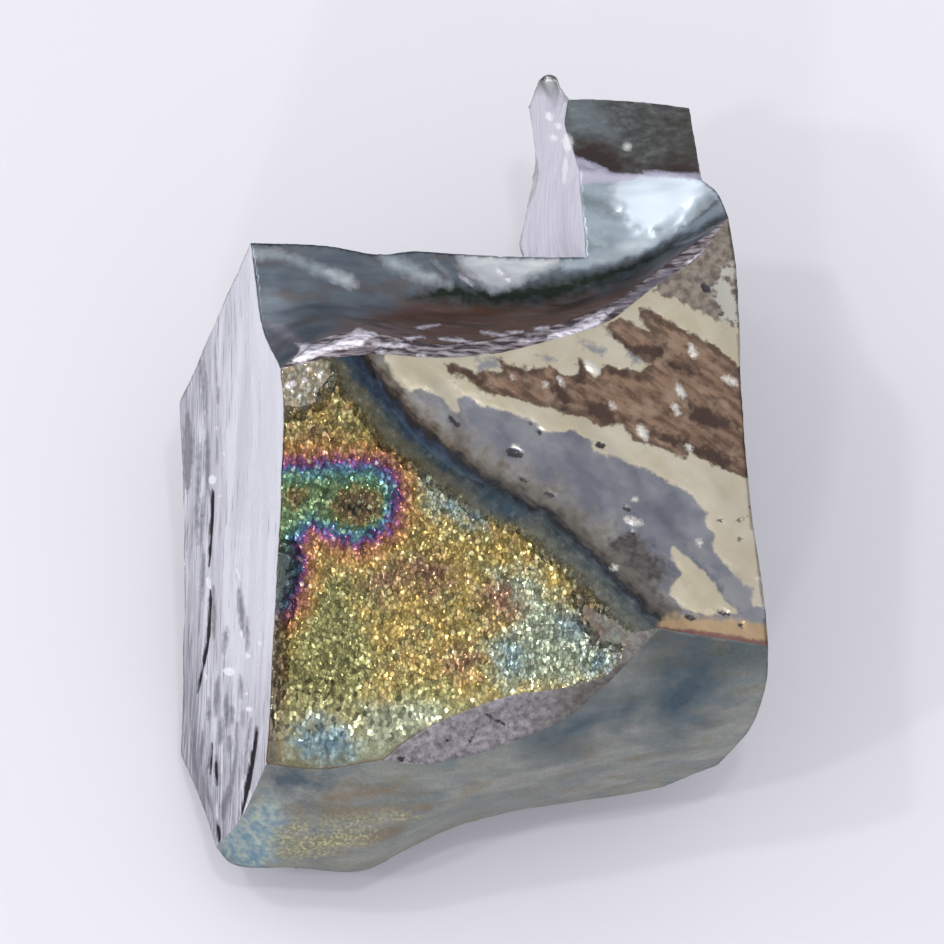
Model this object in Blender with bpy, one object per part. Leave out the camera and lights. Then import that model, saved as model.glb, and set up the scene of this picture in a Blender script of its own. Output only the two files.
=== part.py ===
"""A broken piece of vanadium metal, about 8 x 11 x 6 mm, as one solid lying on its flat underside.

The piece has a coloured face, a mirror-like cleaved face, a sheared end, a rounded outer skin, a hollow
with a lip, and a lug standing behind the hollow. Its broken underside is cut off flat, and it rests there.

Every point of the upper side is named and placed square-on to the coloured face: (across, up, out) in
millimetres. The piece is then leaned back by LEAN, so that up becomes mostly away and out mostly +Z.
Points on the ground are placed as (x, y) at z = 0. The result is in metres, with +Z up.
"""

import math

import bpy
import numpy as np
from mathutils import Matrix, Vector, noise
from mathutils.geometry import delaunay_2d_cdt

# ---------------------------------------------------------------- driving dimensions
MM = 0.001
NODE_NAME = "vanadium_piece"
LEAN = math.radians(28)  # how far the coloured face leans back from level
GROUND_DROP = 4.3  # from the coloured face's left edge down to the ground, mm
SPACING = 0.3  # how far apart the mesh's points are, mm
EDGE_ROUGHNESS = 0.018  # how far a broken edge wanders, mm
EDGE_GRAIN = 0.8  # size of the wander, mm
EDGE_SEED = 1  # gives the same wander each time
FADE = 0.45  # relief dies away this near a face's edge, mm

UP = Vector((0.0, math.cos(LEAN), math.sin(LEAN)))
OUT = Vector((0.0, -math.sin(LEAN), math.cos(LEAN)))

METAL_COLOUR = (0.45, 0.46, 0.48, 1.0)
METAL_ROUGHNESS = 0.3

# Flat faces of the upper side, as out = base + per_across * across + per_up * up
COLOURED = {"base": 0.31, "per_across": 0.11, "per_up": 0.0}
MIRROR = {"base": 0.87, "per_across": -0.2, "per_up": -0.357}
# The sheared end is steep, so out follows from how far left of its right-hand edge a point lies
END_EDGE = {"base": -2.8, "per_up": 0.03}
END_SLOPE = 0.42  # across for each millimetre out


def on(face, across, up):
    """A point of a flat face, from where it lies across and up."""
    return (across, up, face["base"] + face["per_across"] * across + face["per_up"] * up)


def on_end(across, up):
    """A point of the sheared end."""
    edge = END_EDGE["base"] + END_EDGE["per_up"] * up
    return (across, up, (across - edge) / END_SLOPE)


# ---------------------------------------------------------------- named points, mm
UPPER = {
    # the sheared end's outline
    "crown": on_end(-3.15, 4.55),
    "left_high": on_end(-4.2, 2.3),
    "left_mid": on_end(-4.12, 0.0),
    "left_low": on_end(-4.17, -2.75),
    "left_foot": on_end(-3.86, -3.45),
    "toe_back": on_end(-3.64, -4.05),
    "heel_bend": on_end(-3.28, -3.6),
    "neck": on_end(-2.98, 3.4),
    # the coloured face's outline
    "heel": on(COLOURED, -2.9, -2.82),
    "rim_low": on(COLOURED, -2.83, -1.6),
    "rim_mid": on(COLOURED, -2.73, 0.4),
    "rim_high": on(COLOURED, -2.66, 2.1),
    "brow": on(COLOURED, -2.7, 2.76),
    "band_top_left": on(COLOURED, -1.97, 2.93),
    "band_left_1": on(COLOURED, -1.59, 2.1),
    "band_left_2": on(COLOURED, -0.88, 1.42),
    "band_left_3": on(COLOURED, 0.1, 0.78),
    "band_left_4": on(COLOURED, 1.21, -0.02),
    "seam_corner": on(COLOURED, 2.2, -0.98),
    "seam_upper_1": on(COLOURED, 2.0, -1.48),
    "seam_upper_2": on(COLOURED, 1.45, -1.7),
    "seam_upper_3": on(COLOURED, 0.35, -1.9),
    "seam_upper_4": on(COLOURED, -0.65, -2.33),
    "seam_tip": on(COLOURED, -1.25, -2.77),
    "sole": on(COLOURED, -2.1, -2.9),
    # the mirror face's outline
    "band_top_right": on(MIRROR, -1.47, 2.97),
    "band_right_1": (-1.1, 2.13, 0.26),
    "band_right_2": (-0.32, 1.37, 0.35),
    "band_right_3": (0.74, 0.87, 0.38),
    "band_right_4": (1.5, 0.15, 0.49),
    "hub": on(MIRROR, 2.62, -0.9),
    "hem_1": on(MIRROR, 3.08, -0.98),
    "hem_2": on(MIRROR, 3.7, -1.07),
    "right_low": on(MIRROR, 4.17, -1.15),
    "right_1": on(MIRROR, 4.1, -0.3),
    "right_2": on(MIRROR, 3.93, 0.95),
    "right_3": on(MIRROR, 3.83, 2.3),
    "right_4": on(MIRROR, 3.77, 4.0),
    "right_high": on(MIRROR, 3.65, 4.92),
    "lip_1": on(MIRROR, -0.51, 2.91),
    "lip_2": on(MIRROR, 0.25, 2.97),
    "lip_3": on(MIRROR, 1.2, 3.18),
    "lip_4": on(MIRROR, 1.9, 3.42),
    "lip_5": on(MIRROR, 2.5, 3.86),
    "lip_6": on(MIRROR, 3.2, 4.37),
    # the lip's upper side
    "lip_top_1": (-2.25, 3.13, -0.1),
    "lip_top_2": (-1.62, 3.3, -0.15),
    "lip_top_3": (-1.1, 3.2, -0.14),
    "lip_top_4": (-0.35, 3.1, -0.24),
    "lip_top_5": (0.4, 3.2, -0.45),
    "lip_top_6": (1.25, 3.4, -0.72),
    "lip_top_7": (1.95, 3.68, -0.98),
    "lip_top_8": (2.6, 4.13, -1.26),
    "lip_top_9": (3.2, 4.58, -1.5),
    # the grey seam's lower side
    "seam_lower_1": (2.3, -1.28, 0.54),
    "seam_lower_2": (1.84, -1.74, 0.4),
    "seam_lower_3": (1.22, -2.23, 0.24),
    "seam_lower_4": (0.2, -2.64, 0.12),
    "seam_lower_5": (-0.7, -2.83, 0.1),
    # the crest behind the hollow
    "crest_1": (-2.0, 4.5, -1.25),
    "crest_2": (-1.3, 4.4, -1.4),
    "crest_3": (-0.75, 4.44, -1.5),
    "crest_4": (0.4, 4.36, -1.75),
    "inner_corner": (1.63, 4.35, -1.95),
    # the lug's front edge, ridge and top
    "lug_edge_1": (1.59, 4.9, -2.1),
    "lug_edge_2": (1.55, 5.3, -2.3),
    "ridge_left": (1.53, 5.62, -2.45),
    "ridge_1": (2.1, 5.55, -2.42),
    "ridge_2": (2.8, 5.56, -2.33),
    "ridge_right": (3.28, 5.47, -2.2),
    "lug_tip": (3.5, 5.27, -1.95),
    "lug_right": (3.19, 6.1, -3.0),
    "lug_back_right": (3.12, 6.53, -3.6),
    "lug_back_2": (2.46, 6.62, -3.65),
    "lug_back_1": (1.75, 6.66, -3.6),
    "lug_back_left": (1.38, 6.64, -3.55),
    "lug_crease_1": (1.33, 6.3, -3.2),
    "lug_crease_2": (1.42, 6.0, -2.85),
    # the lug's hooked end and the lower edge of its side
    "hook_root": (1.3, 6.76, -3.7),
    "hook_right": (1.19, 7.0, -3.9),
    "hook_left": (0.99, 6.96, -3.95),
    "lug_low_1": (0.81, 6.58, -4.6),
    "lug_low_2": (0.9, 6.04, -4.4),
    "lug_low_3": (0.95, 5.5, -4.0),
    "lug_low_4": (0.76, 4.95, -4.15),
    "lug_low_5": (0.74, 4.4, -4.1),
    # the skin's lower edge, from the right round to the toe
    "turn_1": (4.15, -1.7, -0.05),
    "turn_2": (3.95, -2.32, -0.75),
    "turn_3": (3.5, -2.86, -1.35),
    "turn_4": (2.75, -3.18, -1.7),
    "keel_1": (1.66, -3.37, -1.78),
    "keel_2": (0.5, -3.55, -1.7),
    "keel_3": (-0.3, -3.78, -1.6),
    "keel_4": (-1.0, -4.1, -1.5),
    "keel_5": (-1.6, -4.38, -1.45),
    "keel_6": (-2.5, -4.34, -1.4),
    "toe": (-3.35, -4.3, -1.5),
}

HIDDEN = {
    # ledges round the broken sides, as (x, y, z) with z above the ground
    "notch_mid": (1.35, 4.85, 2.8),
    "back_ledge_1": (-2.6, 4.85, 2.3),
    "back_ledge_2": (-0.6, 5.15, 2.7),
    "right_ledge_1": (3.72, 0.5, 1.7),
    "right_ledge_2": (3.5, 3.3, 2.2),
    "right_ledge_3": (3.62, 5.35, 2.3),
}

GROUND = {
    # the flat underside's outline, as (x, y)
    "ground_left_front": (-3.85, -0.8),
    "ground_front_left": (-2.85, -2.3),
    "ground_front_mid": (-0.6, -1.75),
    "ground_front_right": (2.3, -1.15),
    "ground_right_front": (3.3, -0.2),
    "ground_right_mid": (3.2, 2.3),
    "ground_right_back": (3.4, 5.1),
    "ground_lug_right": (2.95, 6.9),
    "ground_lug_left": (1.3, 7.1),
    "ground_notch": (1.05, 4.75),
    "ground_back_mid": (-0.9, 4.35),
    "ground_back_left": (-2.95, 4.15),
    "ground_left_back": (-3.75, 3.0),
}

# Chains of points that several faces share, each from one corner to the next
LEFT_RIM = ["heel", "rim_low", "rim_mid", "rim_high", "brow"]
LIP = ["band_top_right", "lip_1", "lip_2", "lip_3", "lip_4", "lip_5", "lip_6", "right_high"]
LIP_TOP = ["brow", *[f"lip_top_{n}" for n in range(1, 10)], "right_high"]
BAND_LEFT = ["band_top_left", *[f"band_left_{n}" for n in range(1, 5)], "seam_corner"]
BAND_RIGHT = ["band_top_right", *[f"band_right_{n}" for n in range(1, 5)], "hub"]
SEAM_UPPER = ["seam_corner", *[f"seam_upper_{n}" for n in range(1, 5)], "seam_tip"]
SEAM_LOWER = ["hub", *[f"seam_lower_{n}" for n in range(1, 6)], "seam_tip"]
HEM = ["hub", "hem_1", "hem_2", "right_low"]
RIGHT_EDGE = ["right_low", "right_1", "right_2", "right_3", "right_4", "right_high"]
CREST = ["crown", "crest_1", "crest_2", "crest_3", "crest_4", "inner_corner"]
RIDGE = ["ridge_left", "ridge_1", "ridge_2", "ridge_right"]
LUG_EDGE = ["inner_corner", "lug_edge_1", "lug_edge_2", "ridge_left"]
LUG_CREASE = ["ridge_left", "lug_crease_2", "lug_crease_1", "lug_back_left"]
LUG_BACK = ["lug_back_left", "lug_back_1", "lug_back_2", "lug_back_right"]
HOOK = ["lug_back_left", "hook_root", "hook_right", "hook_left", "lug_low_1"]
LUG_LOW = [*[f"lug_low_{n}" for n in range(1, 6)], "notch_mid"]
TURN = ["right_low", "turn_1", "turn_2", "turn_3"]
KEEL = ["turn_4", *[f"keel_{n}" for n in range(1, 7)], "toe", "toe_back"]
HEEL_EDGE = ["toe_back", "heel_bend", "heel"]
RIGHT_LEDGE = ["turn_3", "right_ledge_1", "right_ledge_2", "right_ledge_3"]
BACK_LEDGE = ["back_ledge_1", "back_ledge_2", "notch_mid"]


def loop(*chains):
    """One closed outline from chains that follow each other; a chain is turned round where that joins up."""
    names = list(chains[0])
    if len(chains) > 1 and names[-1] not in (chains[1][0], chains[1][-1]):
        names.reverse()
    for chain in chains[1:]:
        follows = chain if chain[0] == names[-1] else chain[::-1]
        names += follows[1:]
    return names[:-1] if names[0] == names[-1] else names


FACES = {
    "sheared_end": loop(
        ["crown", "left_high", "left_mid", "left_low", "left_foot", "toe_back"],
        HEEL_EDGE,
        LEFT_RIM,
        ["brow", "neck", "crown"],
    ),
    "coloured_face": loop(
        LEFT_RIM, ["brow", "band_top_left"], BAND_LEFT, SEAM_UPPER, ["seam_tip", "sole", "heel"]
    ),
    "ridge_band": loop(
        BAND_LEFT, ["seam_corner", "hub"], BAND_RIGHT, ["band_top_right", "band_top_left"]
    ),
    "mirror_face": loop(LIP, RIGHT_EDGE, HEM, BAND_RIGHT),
    "grey_seam": loop(SEAM_UPPER, SEAM_LOWER, ["hub", "seam_corner"]),
    "skin": loop(
        ["heel", "sole", "seam_tip"], SEAM_LOWER, HEM, TURN, ["turn_3", "turn_4"], KEEL, HEEL_EDGE
    ),
    "lip": loop(["brow", "band_top_left", "band_top_right"], LIP, LIP_TOP),
    "hollow": loop(
        LIP_TOP,
        ["right_high", "lug_tip", "ridge_right"],
        RIDGE,
        LUG_EDGE,
        CREST,
        ["crown", "neck", "brow"],
    ),
    "lug_top": loop(RIDGE, ["ridge_right", "lug_right", "lug_back_right"], LUG_BACK, LUG_CREASE),
    "lug_side": loop(
        LUG_EDGE, LUG_CREASE, HOOK, LUG_LOW, ["notch_mid", "inner_corner"]
    ),
    "lug_under": loop(
        LUG_LOW, ["notch_mid", "ground_notch", "ground_lug_left", "lug_low_1"]
    ),
    "lug_back": loop(
        HOOK, ["lug_low_1", "ground_lug_left", "ground_lug_right", "lug_back_right"], LUG_BACK
    ),
    "lug_right": loop(
        ["ridge_right", "lug_tip", "right_high", "right_ledge_3", "ground_right_back"],
        ["ground_right_back", "ground_lug_right", "lug_back_right", "lug_right", "ridge_right"],
    ),
    "right_upper": loop(RIGHT_EDGE, TURN, RIGHT_LEDGE, ["right_ledge_3", "right_high"]),
    "right_lower": loop(
        RIGHT_LEDGE,
        ["right_ledge_3", "ground_right_back", "ground_right_mid", "ground_right_front"],
        ["ground_right_front", "ground_front_right", "turn_4", "turn_3"],
    ),
    "back_upper": loop(CREST, ["inner_corner", "notch_mid"], BACK_LEDGE, ["back_ledge_1", "crown"]),
    "back_lower": loop(
        BACK_LEDGE,
        ["notch_mid", "ground_notch", "ground_back_mid", "ground_back_left", "back_ledge_1"],
    ),
    "left_back": ["crown", "left_high", "ground_left_back", "ground_back_left", "back_ledge_1"],
    "left_under": ["left_high", "left_mid", "left_low", "ground_left_front", "ground_left_back"],
    "corner_under": [
        "left_low", "left_foot", "toe_back", "ground_front_left", "ground_left_front",
    ],
    "front_under": loop(
        KEEL,
        ["toe_back", "ground_front_left", "ground_front_mid", "ground_front_right", "turn_4"],
    ),
    "underside": list(GROUND)[::-1],
}

# Points that a curved face passes through inside its outline, (across, up, out)
THROUGH = {
    "hollow": [
        (-2.2, 3.42, -0.42),
        (-1.3, 3.5, -0.72),
        (-0.3, 3.45, -0.98),
        (0.6, 3.6, -1.28),
        (1.5, 3.85, -1.62),
        (2.3, 4.28, -1.95),
        (3.0, 4.8, -2.1),
        (-1.9, 3.95, -0.98),
        (-0.7, 3.95, -1.32),
        (0.5, 4.0, -1.66),
        (2.0, 4.9, -2.15),
        (2.8, 5.15, -2.2),
    ],
    "skin": [
        (-2.5, -3.4, -0.42),
        (-1.3, -3.5, -0.42),
        (0.2, -3.2, -0.55),
        (1.6, -2.75, -0.5),
        (2.8, -1.9, 0.05),
        (3.5, -1.75, 0.12),
        (3.2, -2.5, -0.6),
        (-2.6, -4.05, -1.0),
        (-1.2, -4.0, -0.98),
        (0.8, -3.3, -0.98),
        (2.4, -2.9, -0.98),
    ],
}


def sides(names):
    """The stretches of an outline, as pairs of names."""
    return list(zip(names, names[1:] + names[:1]))


def turned_alike(first_face):
    """The outlines, each anticlockwise seen from outside, from one face's that already is.
    Faces that share a stretch run along it in opposite directions."""
    turned = {first_face: FACES[first_face]}
    waiting = [first_face]
    while waiting:
        run = set(sides(turned[waiting.pop()]))
        for face, names in FACES.items():
            if face in turned or not run & set(sides(names) + sides(names[::-1])):
                continue
            turned[face] = names[::-1] if run & set(sides(names)) else names
            waiting.append(face)
    return turned


# ---------------------------------------------------------------- where the points are
def leaned(across, up, out):
    """Millimetres above the ground, from a point placed square-on to the coloured face."""
    return Vector((across, 0.0, GROUND_DROP)) + up * UP + out * OUT


def all_points():
    """Every named point, in millimetres with z above the ground."""
    points = {name: leaned(*place) for name, place in UPPER.items()}
    points.update({name: Vector(place) for name, place in HIDDEN.items()})
    points.update({name: Vector((x, y, 0.0)) for name, (x, y) in GROUND.items()})
    return points


# ---------------------------------------------------------------- edges
noise.seed_set(EDGE_SEED)


def wandered(point):
    """A point of a broken edge, moved a little by noise, so that the edge isn't drawn with a ruler."""
    return point + noise.noise_vector(point / EDGE_GRAIN) * EDGE_ROUGHNESS


def curve_point(before, start, end, after, t):
    """A point of a smooth curve through start and end, Catmull-Rom."""
    return 0.5 * (
        2 * start
        + (end - before) * t
        + (2 * before - 5 * start + 4 * end - after) * t * t
        + (3 * start - before - 3 * end + after) * t * t * t
    )


def edge_samples(points, corners, names, index):
    """Points from a named point up to the next one of an outline, a spacing apart, without the last one.
    An outline bends smoothly through a point that only two faces share."""
    count = len(names)
    before, start, end, after = (names[(index + step) % count] for step in (-1, 0, 1, 2))
    p_start, p_end = points[start], points[end]
    p_before = 2 * p_start - p_end if start in corners else points[before]
    p_after = 2 * p_end - p_start if end in corners else points[after]
    pieces = max(1, math.ceil((p_end - p_start).length / SPACING))
    on_ground = start.startswith("ground") and end.startswith("ground")
    samples = []
    for piece in range(pieces):
        point = curve_point(p_before, p_start, p_end, p_after, piece / pieces)
        if piece:
            point = wandered(point)
        if on_ground:
            point.z = 0.0
        samples.append(point)
    return samples


class Outlines:
    """The points along every edge, made once and shared by the two faces that meet there."""

    def __init__(self, points):
        self.points = points
        self.vertices = []
        self.edges = {}
        self.named = {}
        uses = [name for names in FACES.values() for name in names]
        self.corners = {name for name in uses if uses.count(name) > 2}

    def add(self, point):
        self.vertices.append(point)
        return len(self.vertices) - 1

    def edge(self, names, index):
        """Vertex numbers along one stretch, without its last one."""
        start, end = names[index], names[(index + 1) % len(names)]
        if (start, end) in self.edges:
            return self.edges[start, end]
        samples = edge_samples(self.points, self.corners, names, index)
        for name in (start, end):
            if name not in self.named:
                self.named[name] = self.add(self.points[name])
        inner = [self.add(point) for point in samples[1:]]
        self.edges[start, end] = [self.named[start], *inner]
        self.edges[end, start] = [self.named[end], *inner[::-1]]
        return self.edges[start, end]

    def outline(self, names):
        """Vertex numbers all round a face."""
        return [vertex for index in range(len(names)) for vertex in self.edge(names, index)]


# ---------------------------------------------------------------- faces
def face_frame(ring):
    """A face's middle and its axes, the last one square to the outline."""
    middle = ring.mean(axis=0)
    normal = np.cross(ring - middle, np.roll(ring, -1, axis=0) - middle).sum(axis=0)
    normal /= np.linalg.norm(normal)
    side = np.cross(normal, (0.31, 0.17, 0.94))
    side /= np.linalg.norm(side)
    return middle, np.array([side, np.cross(normal, side), normal])


def thin_plate(distance):
    """The bending of a thin plate under a point load, by distance."""
    safe = np.maximum(distance, 1e-9)
    return safe * safe * np.log(safe)


def smooth_heights(known, heights, wanted):
    """Heights at wanted, on the smoothest sheet that passes through the known ones."""
    count = len(known)
    flat = np.column_stack([np.ones(count), known])
    system = np.zeros((count + 3, count + 3))
    system[:count, :count] = thin_plate(np.linalg.norm(known[:, None] - known[None], axis=2))
    system[:count, count:] = flat
    system[count:, :count] = flat.T
    weights = np.linalg.solve(system, np.append(heights, np.zeros(3)))
    bend = thin_plate(np.linalg.norm(wanted[:, None] - known[None], axis=2))
    return bend @ weights[:count] + np.column_stack([np.ones(len(wanted)), wanted]) @ weights[count:]


def inside(polygon, places):
    """Which places lie inside a polygon, by counting the sides to their right."""
    x, y = places[:, 0][:, None], places[:, 1][:, None]
    x0, y0 = polygon.T
    x1, y1 = np.roll(polygon, -1, axis=0).T
    spans = (y0 <= y) != (y1 <= y)
    rise = np.where(y1 == y0, 1.0, y1 - y0)
    crossings = spans & (x < x0 + (y - y0) * (x1 - x0) / rise)
    return crossings.sum(axis=1) % 2 == 1


def distance_to_edge(polygon, places):
    """How far each place is from the polygon's sides."""
    start = polygon[None]
    along = np.roll(polygon, -1, axis=0)[None] - start
    to_place = places[:, None] - start
    share = np.clip((to_place * along).sum(2) / np.maximum((along * along).sum(2), 1e-12), 0, 1)
    return np.linalg.norm(to_place - along * share[..., None], axis=2).min(axis=1)


def grid_inside(polygon):
    """Places inside the outline in rows of even triangles, none too near its sides."""
    low, high = polygon.min(axis=0), polygon.max(axis=0)
    row_height = SPACING * math.sqrt(3) / 2
    places = []
    for row, y in enumerate(np.arange(low[1], high[1], row_height)):
        start = low[0] + (row % 2) * SPACING / 2
        places += [(x, y) for x in np.arange(start, high[0], SPACING)]
    places = np.array(places)
    places = places[inside(polygon, places)]
    return places[distance_to_edge(polygon, places) > 0.55 * SPACING]


def ledges(point, direction, pitch, height):
    """Steps of a cleaved surface: flat treads with short risers, crossing it along direction."""
    phase = point.dot(direction) / pitch + 0.6 * noise.noise(point / 1.7)
    tread = phase - math.floor(phase)
    return height * (tread if tread < 0.8 else 4 * (1 - tread))


def grains(point, size, tilt):
    """Facets of a broken surface, where each grain split along a plane tilted its own way."""
    centre = noise.voronoi(point / size)[1][0]
    lean = noise.cell_vector(centre * 31.7) - Vector((0.5, 0.5, 0.5))
    return size * tilt * lean.dot(point / size - centre)


def relief(name, point):
    """How far a face's surface stands out from its smooth sheet at a point, mm."""
    if name == "underside":
        return 0.0
    if name == "coloured_face":
        return 0.02 * noise.noise(point / 0.9)
    if name in ("skin", "grey_seam"):
        return 0.05 * noise.noise(point / 1.6)
    if name == "mirror_face":
        return ledges(point, Vector((0.55, 0.75, -0.2)), 1.3, 0.045)
    if name in ("sheared_end", "lug_side"):
        return 0.07 * noise.noise((point - 0.85 * point.dot(UP) * UP) / 0.7)
    if name == "hollow":
        return 0.05 * noise.noise(point / 0.8)
    if name in ("lip", "lug_top", "ridge_band"):
        return 0.03 * noise.noise(point / 0.7)
    broken = grains(point, 1.5, 0.5) - ledges(point, Vector((0.35, 0.3, 0.85)), 1.2, 0.12)
    return min(broken - 0.06, 0.0)


def face_triangles(name, names, outlines):
    """A face's triangles as vertex numbers; the points inside it are added to the outlines' own."""
    ring_numbers = outlines.outline(names)
    ring = np.array([outlines.vertices[number] for number in ring_numbers])
    middle, axes = face_frame(ring)
    local = (ring - middle) @ axes.T
    outline = local[:, :2]
    places = grid_inside(outline)
    through = np.array([leaned(*place) for place in THROUGH.get(name, [])]).reshape(-1, 3)
    through = (through - middle) @ axes.T
    known = np.vstack([outline, through[:, :2]])
    heights = np.append(local[:, 2], through[:, 2])
    out = smooth_heights(known, heights, places)
    fade = np.clip(distance_to_edge(outline, places) / FADE, 0, 1)
    numbers = list(ring_numbers)
    for place, height, share in zip(places, out, fade):
        point = Vector(middle + place[0] * axes[0] + place[1] * axes[1] + height * axes[2])
        lift = relief(name, point) * share * share * (3 - 2 * share)
        numbers.append(outlines.add(point + Vector(axes[2]) * lift))
    flat = [Vector(place) for place in np.vstack([outline, places])]
    ring_order = list(range(len(outline)))
    made = delaunay_2d_cdt(flat, sides(ring_order), [ring_order], 1, 1e-6)
    vertices, triangles, sources = made[0], made[2], made[3]
    if len(vertices) != len(flat):
        raise ValueError(f"{name}: its outline crosses itself")
    return [[numbers[sources[corner][0]] for corner in triangle] for triangle in triangles]


# ---------------------------------------------------------------- the solid
def metal():
    """The bare metal's material."""
    material = bpy.data.materials.new("vanadium_metal")
    material.use_nodes = True
    shader = material.node_tree.nodes["Principled BSDF"]
    shader.inputs["Base Color"].default_value = METAL_COLOUR
    shader.inputs["Metallic"].default_value = 1.0
    shader.inputs["Roughness"].default_value = METAL_ROUGHNESS
    return material


def stand_on_origin(mesh):
    """Moves the mesh so that the middle of its box's underside is the origin."""
    places = np.array([vertex.co for vertex in mesh.vertices])
    low, high = places.min(axis=0), places.max(axis=0)
    middle = (low + high) / 2
    mesh.transform(Matrix.Translation((-middle[0], -middle[1], -low[2])))
    return middle[0], middle[1]


def build_piece():
    """The whole piece as one closed mesh, in metres."""
    outlines = Outlines(all_points())
    turned = turned_alike("underside")
    triangles = [triangle for name in FACES for triangle in face_triangles(name, turned[name], outlines)]
    mesh = bpy.data.meshes.new(NODE_NAME)
    mesh.from_pydata([vertex * MM for vertex in outlines.vertices], [], triangles)
    offset = stand_on_origin(mesh)
    mesh.set_sharp_from_angle(angle=math.radians(35))
    mesh.materials.append(metal())
    piece = bpy.data.objects.new(NODE_NAME, mesh)
    bpy.context.scene.collection.objects.link(piece)
    print(f"{len(mesh.polygons)} triangles, origin at x {offset[0] / MM:.3f}, y {offset[1] / MM:.3f} mm")
    return piece


def main():
    for old in list(bpy.data.objects):
        bpy.data.objects.remove(old)
    build_piece()


main()
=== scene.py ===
# %% [markdown]
# # A broken piece of vanadium metal
# Vanadium is a hard silvery metal. When a cast lump of it is broken up, each piece keeps a bit of
# everything that happened to it: smooth outer skin from the casting, flat faces where the crystals split, a
# bright end where it was sheared, and thin oxide films that show as gold, purple, blue and green. The
# lesson builds such a piece as one fine mesh from a few dozen named points, then gives every face its own
# finish. The first line of work is always the same: open the imported solid.
# %% Open the imported model
import math

import bpy
import numpy as np
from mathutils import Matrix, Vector, noise
from mathutils.geometry import delaunay_2d_cdt


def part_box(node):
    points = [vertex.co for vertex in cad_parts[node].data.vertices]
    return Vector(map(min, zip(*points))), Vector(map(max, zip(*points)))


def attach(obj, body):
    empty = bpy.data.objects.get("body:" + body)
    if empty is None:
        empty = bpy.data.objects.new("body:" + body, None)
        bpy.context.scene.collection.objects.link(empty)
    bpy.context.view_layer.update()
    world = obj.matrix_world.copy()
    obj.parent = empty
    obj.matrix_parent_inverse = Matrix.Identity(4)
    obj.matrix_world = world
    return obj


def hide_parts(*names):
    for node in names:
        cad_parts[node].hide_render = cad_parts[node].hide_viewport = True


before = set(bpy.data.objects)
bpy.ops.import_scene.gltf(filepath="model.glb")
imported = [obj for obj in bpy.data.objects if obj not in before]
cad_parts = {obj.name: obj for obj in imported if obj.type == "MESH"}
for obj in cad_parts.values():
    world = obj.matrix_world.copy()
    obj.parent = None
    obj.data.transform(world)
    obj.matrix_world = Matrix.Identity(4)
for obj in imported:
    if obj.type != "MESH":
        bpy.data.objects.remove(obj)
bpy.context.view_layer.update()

NODE = "vanadium_piece"
MM = 0.001
solid_low, solid_high = (Vector(corner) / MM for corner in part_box(NODE))
print("the packed solid, mm:", [round(side, 2) for side in solid_high - solid_low])

# %% [markdown]
# ## How the piece is drawn
# The piece lies leaning back, and that makes its points awkward to give as x, y and z. They could be typed
# from a drawing of each side. It is easier to look square-on at the big coloured face and to say, for every
# corner, how far across it is, how far up, and how far out towards the eye. One lean then lays it down.
# %% The lean
LEAN = math.radians(28)
ACROSS = Vector((1.0, 0.0, 0.0))
UP = Vector((0.0, math.cos(LEAN), math.sin(LEAN)))
OUT = Vector((0.0, -math.sin(LEAN), math.cos(LEAN)))
GROUND_DROP = Vector((0.0, 0.0, 4.3))  # from the coloured face's left edge down to the ground, mm


def leaned(across, up, out):
    """A point of the lying piece in millimetres, from its place square-on to the coloured face."""
    return across * ACROSS + up * UP + out * OUT + GROUND_DROP


print("leaned back by", round(math.degrees(LEAN)), "degrees")

# %% [markdown]
# Two faces are flat, so a point on them needs only two numbers, and the plane gives the third. The sheared
# end is flat too but stands so steep that its out is worked out from how far left a point lies.
# %% Points that lie on a flat face
COLOURED = {"base": 0.31, "per_across": 0.11, "per_up": 0.0}
MIRROR = {"base": 0.87, "per_across": -0.2, "per_up": -0.357}
END_EDGE = {"base": -2.8, "per_up": 0.03}
END_SLOPE = 0.42  # across for each millimetre out


def on(face, across, up):
    """A point of a flat face, from where it lies across and up."""
    return (across, up, face["base"] + face["per_across"] * across + face["per_up"] * up)


def on_end(across, up):
    """A point of the sheared end."""
    edge = END_EDGE["base"] + END_EDGE["per_up"] * up
    return (across, up, (across - edge) / END_SLOPE)


# %% [markdown]
# ## Round the sheared end and the coloured face
# Corners come first, in millimetres. A name says where a point sits, so that the lists of edges can be read
# later. Where an edge bends several times on its way, its corners are a run: the run has the name, and they
# are numbered.
# %% Corners of the sheared end and the coloured face
corners = {
    # the sheared end's outline
    "crown": on_end(-3.15, 4.55),
    "left_high": on_end(-4.2, 2.3),
    "left_mid": on_end(-4.12, 0.0),
    "left_low": on_end(-4.17, -2.75),
    "left_foot": on_end(-3.86, -3.45),
    "toe_back": on_end(-3.64, -4.05),
    "heel_bend": on_end(-3.28, -3.6),
    "neck": on_end(-2.98, 3.4),
    # the coloured face's outline
    "heel": on(COLOURED, -2.9, -2.82),
    "rim_low": on(COLOURED, -2.83, -1.6),
    "rim_mid": on(COLOURED, -2.73, 0.4),
    "rim_high": on(COLOURED, -2.66, 2.1),
    "brow": on(COLOURED, -2.7, 2.76),
    "band_top_left": on(COLOURED, -1.97, 2.93),
    "seam_corner": on(COLOURED, 2.2, -0.98),
    "seam_tip": on(COLOURED, -1.25, -2.77),
    "sole": on(COLOURED, -2.1, -2.9),
}
runs = {
    # the ridge band's edge on the coloured face, and the grey seam's upper side
    "band_left": [
        on(COLOURED, -1.59, 2.1), on(COLOURED, -0.88, 1.42), on(COLOURED, 0.1, 0.78),
        on(COLOURED, 1.21, -0.02),
    ],
    "seam_upper": [
        on(COLOURED, 2.0, -1.48), on(COLOURED, 1.45, -1.7), on(COLOURED, 0.35, -1.9),
        on(COLOURED, -0.65, -2.33),
    ],
}
print(len(corners), "corners and", len(runs), "runs so far")

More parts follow.
